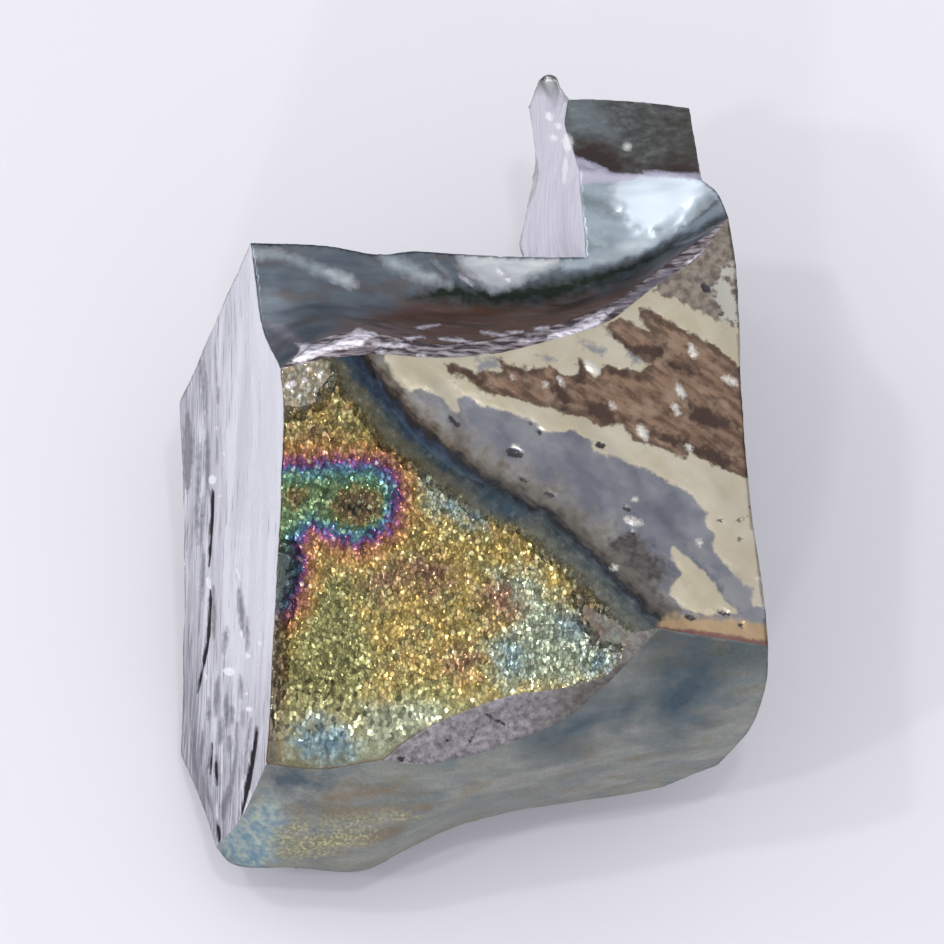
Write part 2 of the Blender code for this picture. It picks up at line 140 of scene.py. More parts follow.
# %% [markdown]
# ## Round the mirror face and the lip
# The second big face is a clean split through the crystal, so it is as flat as a mirror. Its upper edge is
# a broken lip that hangs over a hollow.
# %% Corners of the mirror face, the lip and the seam
corners |= {
    "band_top_right": on(MIRROR, -1.47, 2.97),
    "hub": on(MIRROR, 2.62, -0.9),
    "right_low": on(MIRROR, 4.17, -1.15),
    "right_high": on(MIRROR, 3.65, 4.92),
}
runs |= {
    # the mirror face's outline
    "band_right": [(-1.1, 2.13, 0.26), (-0.32, 1.37, 0.35), (0.74, 0.87, 0.38), (1.5, 0.15, 0.49)],
    "hem": [on(MIRROR, 3.08, -0.98), on(MIRROR, 3.7, -1.07)],
    "right": [on(MIRROR, 4.1, -0.3), on(MIRROR, 3.93, 0.95), on(MIRROR, 3.83, 2.3), on(MIRROR, 3.77, 4.0)],
    "lip": [
        on(MIRROR, -0.51, 2.91), on(MIRROR, 0.25, 2.97), on(MIRROR, 1.2, 3.18), on(MIRROR, 1.9, 3.42),
        on(MIRROR, 2.5, 3.86), on(MIRROR, 3.2, 4.37),
    ],
    # the lip's upper side
    "lip_top": [
        (-2.25, 3.13, -0.1), (-1.62, 3.3, -0.15), (-1.1, 3.2, -0.14), (-0.35, 3.1, -0.24),
        (0.4, 3.2, -0.45), (1.25, 3.4, -0.72), (1.95, 3.68, -0.98), (2.6, 4.13, -1.26), (3.2, 4.58, -1.5),
    ],
    # the grey seam's lower side
    "seam_lower": [
        (2.3, -1.28, 0.54), (1.84, -1.74, 0.4), (1.22, -2.23, 0.24), (0.2, -2.64, 0.12), (-0.7, -2.83, 0.1),
    ],
}
print(len(corners), "corners and", len(runs), "runs so far")

# %% [markdown]
# ## The hollow and the lug
# Behind the lip the metal drops into a hollow, and from its far side stands a lug with a hooked end.
# %% Corners of the crest and the lug
corners |= {
    "inner_corner": (1.63, 4.35, -1.95),
    "ridge_left": (1.53, 5.62, -2.45),
    "ridge_right": (3.28, 5.47, -2.2),
    "lug_tip": (3.5, 5.27, -1.95),
    "lug_right": (3.19, 6.1, -3.0),
    "lug_back_right": (3.12, 6.53, -3.6),
    "lug_back_left": (1.38, 6.64, -3.55),
    "hook_root": (1.3, 6.76, -3.7),
    "hook_right": (1.19, 7.0, -3.9),
    "hook_left": (0.99, 6.96, -3.95),
}
runs |= {
    # the crest behind the hollow
    "crest": [(-2.0, 4.5, -1.25), (-1.3, 4.4, -1.4), (-0.75, 4.44, -1.5), (0.4, 4.36, -1.75)],
    # the lug's front edge, ridge and top
    "lug_edge": [(1.59, 4.9, -2.1), (1.55, 5.3, -2.3)],
    "ridge": [(2.1, 5.55, -2.42), (2.8, 5.56, -2.33)],
    "lug_back": [(1.75, 6.66, -3.6), (2.46, 6.62, -3.65)],
    "lug_crease": [(1.42, 6.0, -2.85), (1.33, 6.3, -3.2)],
    # the lower edge of the lug's side
    "lug_low": [
        (0.81, 6.58, -4.6), (0.9, 6.04, -4.4), (0.95, 5.5, -4.0), (0.76, 4.95, -4.15), (0.74, 4.4, -4.1),
    ],
}
print(len(corners), "corners and", len(runs), "runs so far")

# %% [markdown]
# ## The skin, and what lies on the table
# The lower edge of the rounded skin turns under the piece. The rest is given in table coordinates, x, y and
# z, because those points only carry the broken sides down to the flat underside.
# %% Corners of the skin's lower edge and the underside
corners |= {
    "keel_start": (2.75, -3.18, -1.7),
    "toe": (-3.35, -4.3, -1.5),
}
runs |= {
    # the skin's lower edge, from the right round to the toe
    "turn": [(4.15, -1.7, -0.05), (3.95, -2.32, -0.75), (3.5, -2.86, -1.35)],
    "keel": [
        (1.66, -3.37, -1.78), (0.5, -3.55, -1.7), (-0.3, -3.78, -1.6), (-1.0, -4.1, -1.5),
        (-1.6, -4.38, -1.45), (-2.5, -4.34, -1.4),
    ],
}
on_table = {
    # ledges round the broken sides, as (x, y, z)
    "notch_mid": (1.35, 4.85, 2.8),
    "back_ledge_1": (-2.6, 4.85, 2.3),
    "back_ledge_2": (-0.6, 5.15, 2.7),
    "right_ledge_1": (3.72, 0.5, 1.7),
    "right_ledge_2": (3.5, 3.3, 2.2),
    "right_ledge_3": (3.62, 5.35, 2.3),
}

ground = {
    # the flat underside's outline, as (x, y)
    "ground_left_front": (-3.85, -0.8),
    "ground_front_left": (-2.85, -2.3),
    "ground_front_mid": (-0.6, -1.75),
    "ground_front_right": (2.3, -1.15),
    "ground_right_front": (3.3, -0.2),
    "ground_right_mid": (3.2, 2.3),
    "ground_right_back": (3.4, 5.1),
    "ground_lug_right": (2.95, 6.9),
    "ground_lug_left": (1.3, 7.1),
    "ground_notch": (1.05, 4.75),
    "ground_back_mid": (-0.9, 4.35),
    "ground_back_left": (-2.95, 4.15),
    "ground_left_back": (-3.75, 3.0),
}

for name, run in runs.items():
    corners |= {f"{name}_{number}": corner for number, corner in enumerate(run, 1)}
places = {name: leaned(*corner) for name, corner in corners.items()}
places |= {name: Vector(place) for name, place in on_table.items()}
places |= {name: Vector((x, y, 0.0)) for name, (x, y) in ground.items()}
print(len(places), "named points")

# %% [markdown]
# ## Edges and faces
# Neighbouring faces share an edge, and a gap would open if each drew its own. So every shared run of points
# is named once, as a chain, and a face is a loop of chains.
# %% Chains that several faces share
def numbered(name):
    """The names of a run's corners, in order."""
    return [f"{name}_{number}" for number in range(1, len(runs[name]) + 1)]


def linked(start, name, end):
    """A chain from one corner along a run to another corner."""
    return [start, *numbered(name), end]


LEFT_RIM = ["heel", "rim_low", "rim_mid", "rim_high", "brow"]
LIP = linked("band_top_right", "lip", "right_high")
LIP_TOP = linked("brow", "lip_top", "right_high")
BAND_LEFT = linked("band_top_left", "band_left", "seam_corner")
BAND_RIGHT = linked("band_top_right", "band_right", "hub")
SEAM_UPPER = linked("seam_corner", "seam_upper", "seam_tip")
SEAM_LOWER = linked("hub", "seam_lower", "seam_tip")
HEM = linked("hub", "hem", "right_low")
RIGHT_EDGE = linked("right_low", "right", "right_high")
CREST = linked("crown", "crest", "inner_corner")
RIDGE = linked("ridge_left", "ridge", "ridge_right")
LUG_EDGE = linked("inner_corner", "lug_edge", "ridge_left")
LUG_CREASE = linked("ridge_left", "lug_crease", "lug_back_left")
LUG_BACK = linked("lug_back_left", "lug_back", "lug_back_right")
HOOK = ["lug_back_left", "hook_root", "hook_right", "hook_left", "lug_low_1"]
LUG_LOW = [*numbered("lug_low"), "notch_mid"]
TURN = ["right_low", *numbered("turn")]
KEEL = ["keel_start", *numbered("keel"), "toe", "toe_back"]
HEEL_EDGE = ["toe_back", "heel_bend", "heel"]
RIGHT_LEDGE = ["turn_3", "right_ledge_1", "right_ledge_2", "right_ledge_3"]
BACK_LEDGE = ["back_ledge_1", "back_ledge_2", "notch_mid"]


# %% [markdown]
# A chain runs one way round one face and the other way round its neighbour. To spare the lists a sense of
# direction, the loop turns a chain round where that makes it join up.
# %% The faces, as loops of chains
def loop(*chains):
    """One closed outline from chains that follow each other; a chain is turned round where that joins up."""
    names = list(chains[0])
    if len(chains) > 1 and names[-1] not in (chains[1][0], chains[1][-1]):
        names.reverse()
    for chain in chains[1:]:
        follows = chain if chain[0] == names[-1] else chain[::-1]
        names += follows[1:]
    return names[:-1] if names[0] == names[-1] else names


FACES = {
    "sheared_end": loop(
        ["crown", "left_high", "left_mid", "left_low", "left_foot", "toe_back"], HEEL_EDGE, LEFT_RIM,
        ["brow", "neck", "crown"],
    ),
    "coloured_face": loop(
        LEFT_RIM, ["brow", "band_top_left"], BAND_LEFT, SEAM_UPPER, ["seam_tip", "sole", "heel"],
    ),
    "ridge_band": loop(BAND_LEFT, ["seam_corner", "hub"], BAND_RIGHT, ["band_top_right", "band_top_left"]),
    "mirror_face": loop(LIP, RIGHT_EDGE, HEM, BAND_RIGHT),
    "grey_seam": loop(SEAM_UPPER, SEAM_LOWER, ["hub", "seam_corner"]),
    "skin": loop(
        ["heel", "sole", "seam_tip"], SEAM_LOWER, HEM, TURN, ["turn_3", "keel_start"], KEEL, HEEL_EDGE,
    ),
    "lip": loop(["brow", "band_top_left", "band_top_right"], LIP, LIP_TOP),
    "hollow": loop(
        LIP_TOP, ["right_high", "lug_tip", "ridge_right"], RIDGE, LUG_EDGE, CREST,
        ["crown", "neck", "brow"],
    ),
    "lug_top": loop(RIDGE, ["ridge_right", "lug_right", "lug_back_right"], LUG_BACK, LUG_CREASE),
    "lug_side": loop(LUG_EDGE, LUG_CREASE, HOOK, LUG_LOW, ["notch_mid", "inner_corner"]),
    "lug_under": loop(LUG_LOW, ["notch_mid", "ground_notch", "ground_lug_left", "lug_low_1"]),
    "lug_back": loop(
        HOOK, ["lug_low_1", "ground_lug_left", "ground_lug_right", "lug_back_right"], LUG_BACK,
    ),
    "lug_right": loop(
        ["ridge_right", "lug_tip", "right_high", "right_ledge_3", "ground_right_back"],
        ["ground_right_back", "ground_lug_right", "lug_back_right", "lug_right", "ridge_right"],
    ),
    "right_upper": loop(RIGHT_EDGE, TURN, RIGHT_LEDGE, ["right_ledge_3", "right_high"]),
    "right_lower": loop(
        RIGHT_LEDGE, ["right_ledge_3", "ground_right_back", "ground_right_mid", "ground_right_front"],
        ["ground_right_front", "ground_front_right", "keel_start", "turn_3"],
    ),
    "back_upper": loop(CREST, ["inner_corner", "notch_mid"], BACK_LEDGE, ["back_ledge_1", "crown"]),
    "back_lower": loop(
        BACK_LEDGE, ["notch_mid", "ground_notch", "ground_back_mid", "ground_back_left", "back_ledge_1"],
    ),
    "left_back": ["crown", "left_high", "ground_left_back", "ground_back_left", "back_ledge_1"],
    "left_under": ["left_high", "left_mid", "left_low", "ground_left_front", "ground_left_back"],
    "corner_under": ["left_low", "left_foot", "toe_back", "ground_front_left", "ground_left_front"],
    "front_under": loop(
        KEEL, ["toe_back", "ground_front_left", "ground_front_mid", "ground_front_right", "keel_start"],
    ),
    "underside": list(ground),
}
print(len(FACES), "faces")

# %% [markdown]
# A curved face also passes through a few points inside its outline: the floor of the hollow and the roll of
# the skin.
# %% Points inside the curved faces
THROUGH = {
    "hollow": [
        (-2.2, 3.42, -0.42), (-1.3, 3.5, -0.72), (-0.3, 3.45, -0.98), (0.6, 3.6, -1.28), (1.5, 3.85, -1.62),
        (2.3, 4.28, -1.95), (3.0, 4.8, -2.1), (-1.9, 3.95, -0.98), (-0.7, 3.95, -1.32), (0.5, 4.0, -1.66),
        (2.0, 4.9, -2.15), (2.8, 5.15, -2.2),
    ],
    "skin": [
        (-2.5, -3.4, -0.42), (-1.3, -3.5, -0.42), (0.2, -3.2, -0.55), (1.6, -2.75, -0.5), (2.8, -1.9, 0.05),
        (3.5, -1.75, 0.12), (3.2, -2.5, -0.6), (-2.6, -4.05, -1.0), (-1.2, -4.0, -0.98), (0.8, -3.3, -0.98),
        (2.4, -2.9, -0.98),
    ],
}
print({face: len(points) for face, points in THROUGH.items()}, "points to pass through")

# %% [markdown]
# ## How fine the mesh is
# The mesh could be even all over, but most of it would be wasted on the underside. Each face has its own
# spacing instead, and an edge takes the finer spacing of the two faces that it joins.
# %% Spacing of the mesh's points, face by face
FINE, BROKEN, PLAIN = 0.05, 0.085, 0.25
BROKEN_FACES = [
    "lug_right", "right_upper", "right_lower", "back_upper", "back_lower", "lug_back", "lug_under",
    "left_back", "left_under", "corner_under", "front_under",
]
FACE_SPACING = dict.fromkeys(FACES, FINE) | dict.fromkeys(BROKEN_FACES, BROKEN)
FACE_SPACING |= {"coloured_face": 0.036, "lip": 0.04, "ridge_band": 0.04, "underside": PLAIN}


def sides(names):
    """The stretches of an outline, as pairs of names."""
    return list(zip(names, names[1:] + names[:1]))


stretch_spacing = {}
for face, names in FACES.items():
    for pair in map(frozenset, sides(names)):
        stretch_spacing[pair] = min(FACE_SPACING[face], stretch_spacing.get(pair, PLAIN))
print(len(stretch_spacing), "stretches of edge")

# %% [markdown]
# A face's outline says which side is outside: seen from there it runs anticlockwise. Checking each by eye
# is easy to get wrong, so one face is set right, and its neighbours follow, because two faces that share a
# stretch run along it in opposite directions.
# %% Turn every outline the same way
def turned_alike(first):
    """The outlines, each anticlockwise seen from outside, from one that already is."""
    turned = {"underside": first}
    waiting = ["underside"]
    while waiting:
        run = set(sides(turned[waiting.pop()]))
        for face, names in FACES.items():
            if face in turned or not run & set(sides(names) + sides(names[::-1])):
                continue
            turned[face] = names[::-1] if run & set(sides(names)) else names
            waiting.append(face)
    return turned


outlines = turned_alike(list(ground)[::-1])
print(len(outlines), "outlines turned outwards")

# %% [markdown]
# ## Edges
# A broken edge isn't straight. It bends smoothly through the points that only two faces share, turns
# sharply where three meet, and wanders a little all along. Noise could push every vertex at the end, but
# the two faces of an edge have to move together, so the wander goes in while the edge is made, once, for
# both. Blender shifts this kind of noise by a chance amount each time it starts, unless it is given a seed.
# %% Points along an edge
EDGE_SEED = 1
noise.seed_set(EDGE_SEED)
EDGE_WANDER = [(0.8, 0.018), (0.13, 0.006)]  # (size, how far), mm
uses = [name for names in FACES.values() for name in names]
sharp_corners = {name for name in uses if uses.count(name) > 2}
print(len(sharp_corners), "corners turn sharply")


def wandered(point):
    """A point of a broken edge, moved a little by noise."""
    moves = (noise.noise_vector(point / size) * reach for size, reach in EDGE_WANDER)
    return sum(moves, point.copy())


def curve_point(before, start, end, after, t):
    """A point of a smooth curve through start and end, Catmull-Rom."""
    return 0.5 * (
        2 * start
        + (end - before) * t
        + (2 * before - 5 * start + 4 * end - after) * t * t
        + (3 * start - before - 3 * end + after) * t * t * t
    )


def stretch_points(names, index):
    """Points between a named point and the next one of an outline."""
    before, start, end, after = (names[(index + step) % len(names)] for step in (-1, 0, 1, 2))
    p_start, p_end = places[start], places[end]
    p_before = 2 * p_start - p_end if start in sharp_corners else places[before]
    p_after = 2 * p_end - p_start if end in sharp_corners else places[after]
    gap = stretch_spacing[frozenset((start, end))]
    count = max(1, math.ceil((p_end - p_start).length / gap))
    points = [curve_point(p_before, p_start, p_end, p_after, n / count) for n in range(1, count)]
    if start in ground and end in ground:
        return points
    return [wandered(point) for point in points]


# %% [markdown]
# Each stretch is made the first time a face asks for it and kept, so the neighbour gets the same vertices.
# %% Edges shared by two faces
vertices = []
named_vertex = {}
stretches = {}


def new_vertex(point):
    """Keeps a point and gives its number."""
    vertices.append(point)
    return len(vertices) - 1


def stretch(names, index):
    """Vertex numbers from one named point up to the next, without the last."""
    start, end = names[index], names[(index + 1) % len(names)]
    if (start, end) not in stretches:
        for name in (start, end):
            if name not in named_vertex:
                named_vertex[name] = new_vertex(places[name])
        inner = [new_vertex(point) for point in stretch_points(names, index)]
        stretches[start, end] = [named_vertex[start], *inner]
        stretches[end, start] = [named_vertex[end], *inner[::-1]]
    return stretches[start, end]


def ring_of(face):
    """Vertex numbers all round a face."""
    names = outlines[face]
    return [vertex for index in range(len(names)) for vertex in stretch(names, index)]


# %% [markdown]
# ## The sheet that fills a face
# Between its edges a face should be as smooth as it can: flat where the edges are flat, and gently bent
# where they aren't. A subdivision surface would pull away from its edges. A thin plate doesn't: it is the
# shape a springy sheet takes when it is held at given points, and it passes through all of them.
# %% A springy sheet through given points
HELD_EVERY = 0.3  # the sheet is held this often along an edge, mm
AT_ONCE = 1500  # places worked out together, to keep the memory small


def in_parts(work, points):
    """Runs work on a few points at a time and joins the answers."""
    return np.concatenate([work(points[n : n + AT_ONCE]) for n in range(0, len(points), AT_ONCE)])


def thin_plate(distance):
    """The bending of a thin plate under a point load, by distance."""
    safe = np.maximum(distance, 1e-9)
    return safe * safe * np.log(safe)


def smooth_heights(held, heights, wanted):
    """Heights at wanted, on the smoothest sheet through the held points."""
    count = len(held)
    flat = np.column_stack([np.ones(count), held])
    system = np.zeros((count + 3, count + 3))
    system[:count, :count] = thin_plate(np.linalg.norm(held[:, None] - held[None], axis=2))
    system[:count, count:] = flat
    system[count:, :count] = flat.T
    weights = np.linalg.solve(system, np.append(heights, np.zeros(3)))

    def sheet(some):
        bend = thin_plate(np.linalg.norm(some[:, None] - held[None], axis=2))
        return bend @ weights[:count] + np.column_stack([np.ones(len(some)), some]) @ weights[count:]

    return in_parts(sheet, wanted)


# %% [markdown]
# Two questions come up again and again: is a place inside an outline, and how far is it from one. The same
# two answers later say where a patch of tarnish begins and ends.
# %% Inside or outside, and how far from the edge
def inside(outline, points):
    """Which points lie inside an outline, by counting the sides to their right."""
    x, y = points[:, 0][:, None], points[:, 1][:, None]
    x0, y0 = outline.T
    x1, y1 = np.roll(outline, -1, axis=0).T
    spans = (y0 <= y) != (y1 <= y)
    rise = np.where(y1 == y0, 1.0, y1 - y0)
    return (spans & (x < x0 + (y - y0) * (x1 - x0) / rise)).sum(axis=1) % 2 == 1


def distance_to_sides(start, end, points):
    """How far each point is from the nearest of the sides."""

    def nearest(some):
        along = end - start
        to_point = some[:, None] - start[None]
        share = (to_point * along).sum(2) / np.maximum((along * along).sum(1), 1e-12)
        off = to_point - along * np.clip(share, 0, 1)[..., None]
        return np.linalg.norm(off, axis=2).min(axis=1)

    return in_parts(nearest, points)


def distance_to_outline(outline, points):
    """How far each point is from a closed outline."""
    return distance_to_sides(outline, np.roll(outline, -1, axis=0), points)


def distance_to_line(line, points):
    """How far each point is from an open line."""
    return distance_to_sides(line[:-1], line[1:], points)


# %% [markdown]
# A face is filled with rows of even triangles, cut off short of its edges, and a Delaunay triangulation
# joins the rows to the edge. That keeps every triangle well shaped, which matters on polished metal: a
# reflection shows up long thin triangles at once.
# %% Rows of points inside a face
EDGE_CLEAR = 0.55  # rows stop this share of their spacing short of an edge
NO_FACE = (0.31, 0.17, 0.94)  # a direction that no face is square to


def rows_inside(outline, gap):
    """Points inside an outline in rows of even triangles, none too near its sides."""
    low, high = outline.min(axis=0), outline.max(axis=0)
    rows = np.arange(low[1], high[1], gap * math.sqrt(3) / 2)
    points = np.array(
        [(x, y) for n, y in enumerate(rows) for x in np.arange(low[0] + n % 2 * gap / 2, high[0], gap)]
    )
    points = points[in_parts(lambda some: inside(outline, some), points)]
    return points[distance_to_outline(outline, points) > EDGE_CLEAR * gap]


def face_frame(ring):
    """A face's middle and its axes, the last one square to the outline and pointing outwards."""
    middle = ring.mean(axis=0)
    normal = np.cross(ring - middle, np.roll(ring, -1, axis=0) - middle).sum(axis=0)
    normal /= np.linalg.norm(normal)
    side = np.cross(normal, NO_FACE)
    side /= np.linalg.norm(side)
    return middle, np.array([side, np.cross(normal, side), normal])


# %% [markdown]
# ## Where the marks are
# The faces carry marks: a ring of oxide colours, patches where the split left the metal cream, grey or
# brown, slivers along the lip. They could be painted on an image, but an image has a size and blurs up
# close. Here a mark is an outline of a few points, across and up. Later a finish asks how deep inside the
# outline it is.
# %% A small oval mark
OVAL_POINTS = 12


def oval(across, up, length, width, slant=-60.0):
    """The outline of a small oval; slant turns its length, in degrees from across."""
    turn = math.radians(slant)
    outline = []
    for step in range(OVAL_POINTS):
        angle = math.tau * step / OVAL_POINTS
        x, y = length / 2 * math.cos(angle), width / 2 * math.sin(angle)
        outline.append((
            across + x * math.cos(turn) - y * math.sin(turn),
            up + x * math.sin(turn) + y * math.cos(turn),
        ))
    return outline


def ovals(*shapes):
    """Several small ovals."""
    return [oval(*shape) for shape in shapes]


# %% [markdown]
# The mirror face's marks lie on one another: cream on the blue-grey metal, brown on the cream, char and
# white specks on the brown.
# %% Marks on the mirror face
mirror_marks = {
    "cream": [
        [(-1.3, 3.3), (-1.17, 2.68), (-1.0, 2.5), (-0.88, 2.43), (-0.72, 2.47), (-0.43, 2.33), (-0.25, 2.1),
         (-0.18, 2.16), (-0.2, 2.33), (-0.06, 2.37), (0.12, 2.23), (0.36, 2.18), (0.81, 2.04), (1.02, 1.85),
         (1.42, 1.87), (1.7, 1.72), (1.71, 1.57), (2.05, 1.49), (2.5, 1.31), (3.08, 0.98), (3.33, 0.72),
         (3.28, 0.6), (3.42, 0.38), (3.38, 0.2), (3.62, -0.05), (3.8, -0.3), (3.95, -0.62), (4.5, -0.6),
         (4.0, 2.0), (4.0, 5.2), (1.5, 5.2)],
        [(2.82, 0.24), (3.11, 0.04), (3.38, -0.25), (3.55, -0.49), (3.74, -0.7), (3.35, -0.72),
         (2.99, -0.63), (2.75, -0.41), (2.96, -0.13), (2.8, 0.09)],
    ],
    "brown": [
        [(-0.37, 2.8), (-0.25, 2.83), (0.06, 2.68), (0.21, 2.74), (0.31, 2.68), (0.45, 2.73), (0.36, 2.89),
         (0.6, 2.78), (0.89, 2.72), (1.09, 2.79), (1.3, 2.67), (1.51, 2.68), (1.51, 2.9), (1.74, 2.61),
         (1.89, 2.82), (2.36, 2.71), (2.5, 2.82), (2.16, 3.04), (1.89, 3.35), (2.09, 3.49), (2.56, 3.24),
         (2.37, 3.51), (2.37, 3.64), (2.6, 3.55), (2.98, 3.33), (3.47, 3.06), (3.89, 2.69), (4.2, 2.5),
         (4.2, 1.15), (3.65, 1.29), (3.29, 1.44), (3.07, 1.6), (3.01, 1.48), (2.69, 1.62), (2.27, 1.75),
         (2.12, 1.97), (1.82, 1.93), (1.6, 2.06), (1.07, 2.18), (0.39, 2.37), (0.12, 2.45), (-0.14, 2.7),
         (-0.27, 2.7), (-0.26, 2.56)],
    ],
    "char": [
        [(-0.37, 2.8), (-0.02, 2.73), (0.27, 2.54), (0.23, 2.42), (0.0, 2.62), (-0.33, 2.7)],
        [(0.37, 2.9), (0.6, 2.78), (1.01, 2.75), (0.99, 2.68), (0.68, 2.68), (0.43, 2.79)],
        [(1.18, 2.73), (1.22, 2.64), (1.4, 2.33), (1.3, 2.11), (1.14, 2.46)],
        [(1.51, 2.91), (1.71, 2.56), (1.42, 2.56), (1.38, 2.62), (1.51, 2.68)],
        [(1.88, 3.33), (2.22, 3.09), (2.76, 3.09), (2.71, 2.91), (2.53, 2.89), (2.31, 2.96)],
        [(1.89, 2.8), (2.09, 2.73), (2.53, 2.65), (2.4, 2.6), (1.91, 2.69)],
        [(1.6, 2.29), (1.89, 2.27), (2.11, 2.02), (1.82, 2.0), (1.65, 2.13)],
        [(2.85, 2.91), (3.25, 2.69), (3.11, 2.65), (2.71, 2.82)],
        [(3.07, 2.27), (3.33, 2.22), (3.78, 1.93), (3.29, 1.93), (3.07, 2.02)],
        [(2.4, 1.73), (2.49, 1.82), (3.09, 1.58), (3.56, 1.36), (3.8, 1.45), (3.29, 1.67), (2.53, 1.91)],
        [(2.4, 3.65), (2.8, 3.38), (3.02, 3.27), (2.71, 3.36)],
    ],
    "flakes": ovals(
        (3.13, 3.01, 0.22, 0.1), (2.95, 2.44, 0.23, 0.11), (2.88, 2.18, 0.2, 0.08),
        (1.99, 2.24, 0.14, 0.06), (2.41, 1.85, 0.24, 0.12), (3.66, 2.6, 0.26, 0.1, -20),
        (3.06, 1.64, 0.12, 0.08), (1.7, 2.77, 0.28, 0.1, -40), (1.26, 2.58, 0.16, 0.06),
        (1.04, 2.53, 0.08, 0.06), (0.57, 2.63, 0.07, 0.05), (0.6, 1.66, 0.09, 0.05, 0),
        (2.3, 0.9, 0.1, 0.05, 0), (2.27, 0.6, 0.28, 0.09, -20), (3.21, 0.3, 0.1, 0.07),
        (4.06, -0.2, 0.1, 0.06, 0), (4.13, -0.58, 0.1, 0.07, 0), (2.0, -0.05, 0.09, 0.07, 0),
    ),
}
print("on the mirror face:", *mirror_marks)

# %% [markdown]
# Round them lie weaker stains: ash by the lip, haze over the cream, dusk along the ridge. A rusty strip
# runs along the hem, and a few pits go right through.
# %% Stains and pits of the mirror face
mirror_marks |= {
    "ash": [
        [(2.55, 3.85), (3.1, 4.5), (3.7, 5.1), (3.95, 4.2), (3.95, 3.28), (3.65, 3.38), (3.29, 3.54),
         (2.91, 3.73)],
    ],
    "haze": [
        [(3.5, -0.2), (3.7, -0.15), (3.96, -0.4), (3.9, -0.7), (3.68, -0.6), (3.52, -0.44)],
        [(3.11, 0.33), (3.21, 0.38), (3.47, -0.2), (3.23, 0.0), (2.99, 0.24)],
        [(1.52, 3.18), (1.89, 3.02), (1.82, 2.96), (1.56, 3.05)],
        [(0.91, 2.95), (1.22, 2.91), (1.09, 2.87)],
        [(0.08, 2.91), (0.37, 2.89), (0.41, 2.79), (0.1, 2.7), (0.04, 2.77)],
        [(2.2, 3.02), (2.36, 3.0), (2.51, 2.89), (2.27, 2.8)],
    ],
    "dusk": [
        [(1.88, 0.29), (2.02, 0.46), (2.37, 0.36), (2.67, 0.07), (2.84, -0.17), (2.58, -0.25), (2.7, -0.53),
         (2.89, -0.63), (2.65, -0.75), (2.26, -0.44), (1.88, -0.1), (1.61, 0.04)],
    ],
    "pale_corner": ovals((3.62, 3.72, 0.3, 0.75, 20), (3.72, 4.15, 0.3, 0.2, 0)),
    "rust_strip": [
        [(2.64, -0.82), (2.75, -0.71), (3.11, -0.75), (3.59, -0.76), (4.26, -0.87), (4.3, -1.3),
         (2.6, -1.2)],
    ],
    "hem_line": [[(2.6, -0.88), (3.18, -0.93), (3.71, -1.01), (4.3, -1.11), (4.3, -1.35), (2.6, -1.1)]],
    "pits": ovals(
        (0.6, 1.56, 0.24, 0.13, -15), (0.73, 1.19, 0.18, 0.06, -25), (1.09, 0.98, 0.16, 0.07, -15),
        (-0.25, 2.0, 0.26, 0.07, -40), (0.95, 1.86, 0.1, 0.07, -30), (0.82, 1.97, 0.1, 0.04, -20),
        (2.24, 0.44, 0.14, 0.07, -30), (2.18, 0.78, 0.14, 0.06, -30), (3.92, 0.78, 0.07, 0.05, 0),
        (3.81, 0.63, 0.22, 0.04, 30), (3.5, 0.61, 0.09, 0.06, 0), (3.78, 0.34, 0.08, 0.05, 0),
        (3.79, -0.86, 0.09, 0.08, 0), (3.55, -0.69, 0.22, 0.06, -10), (3.08, -0.75, 0.18, 0.07, -10),
        (1.81, 1.67, 0.16, 0.1, -15), (3.31, 3.91, 0.17, 0.12), (3.53, 3.54, 0.08, 0.05, 0),
    ),
}
print("kinds of mark on the mirror face:", len(mirror_marks))
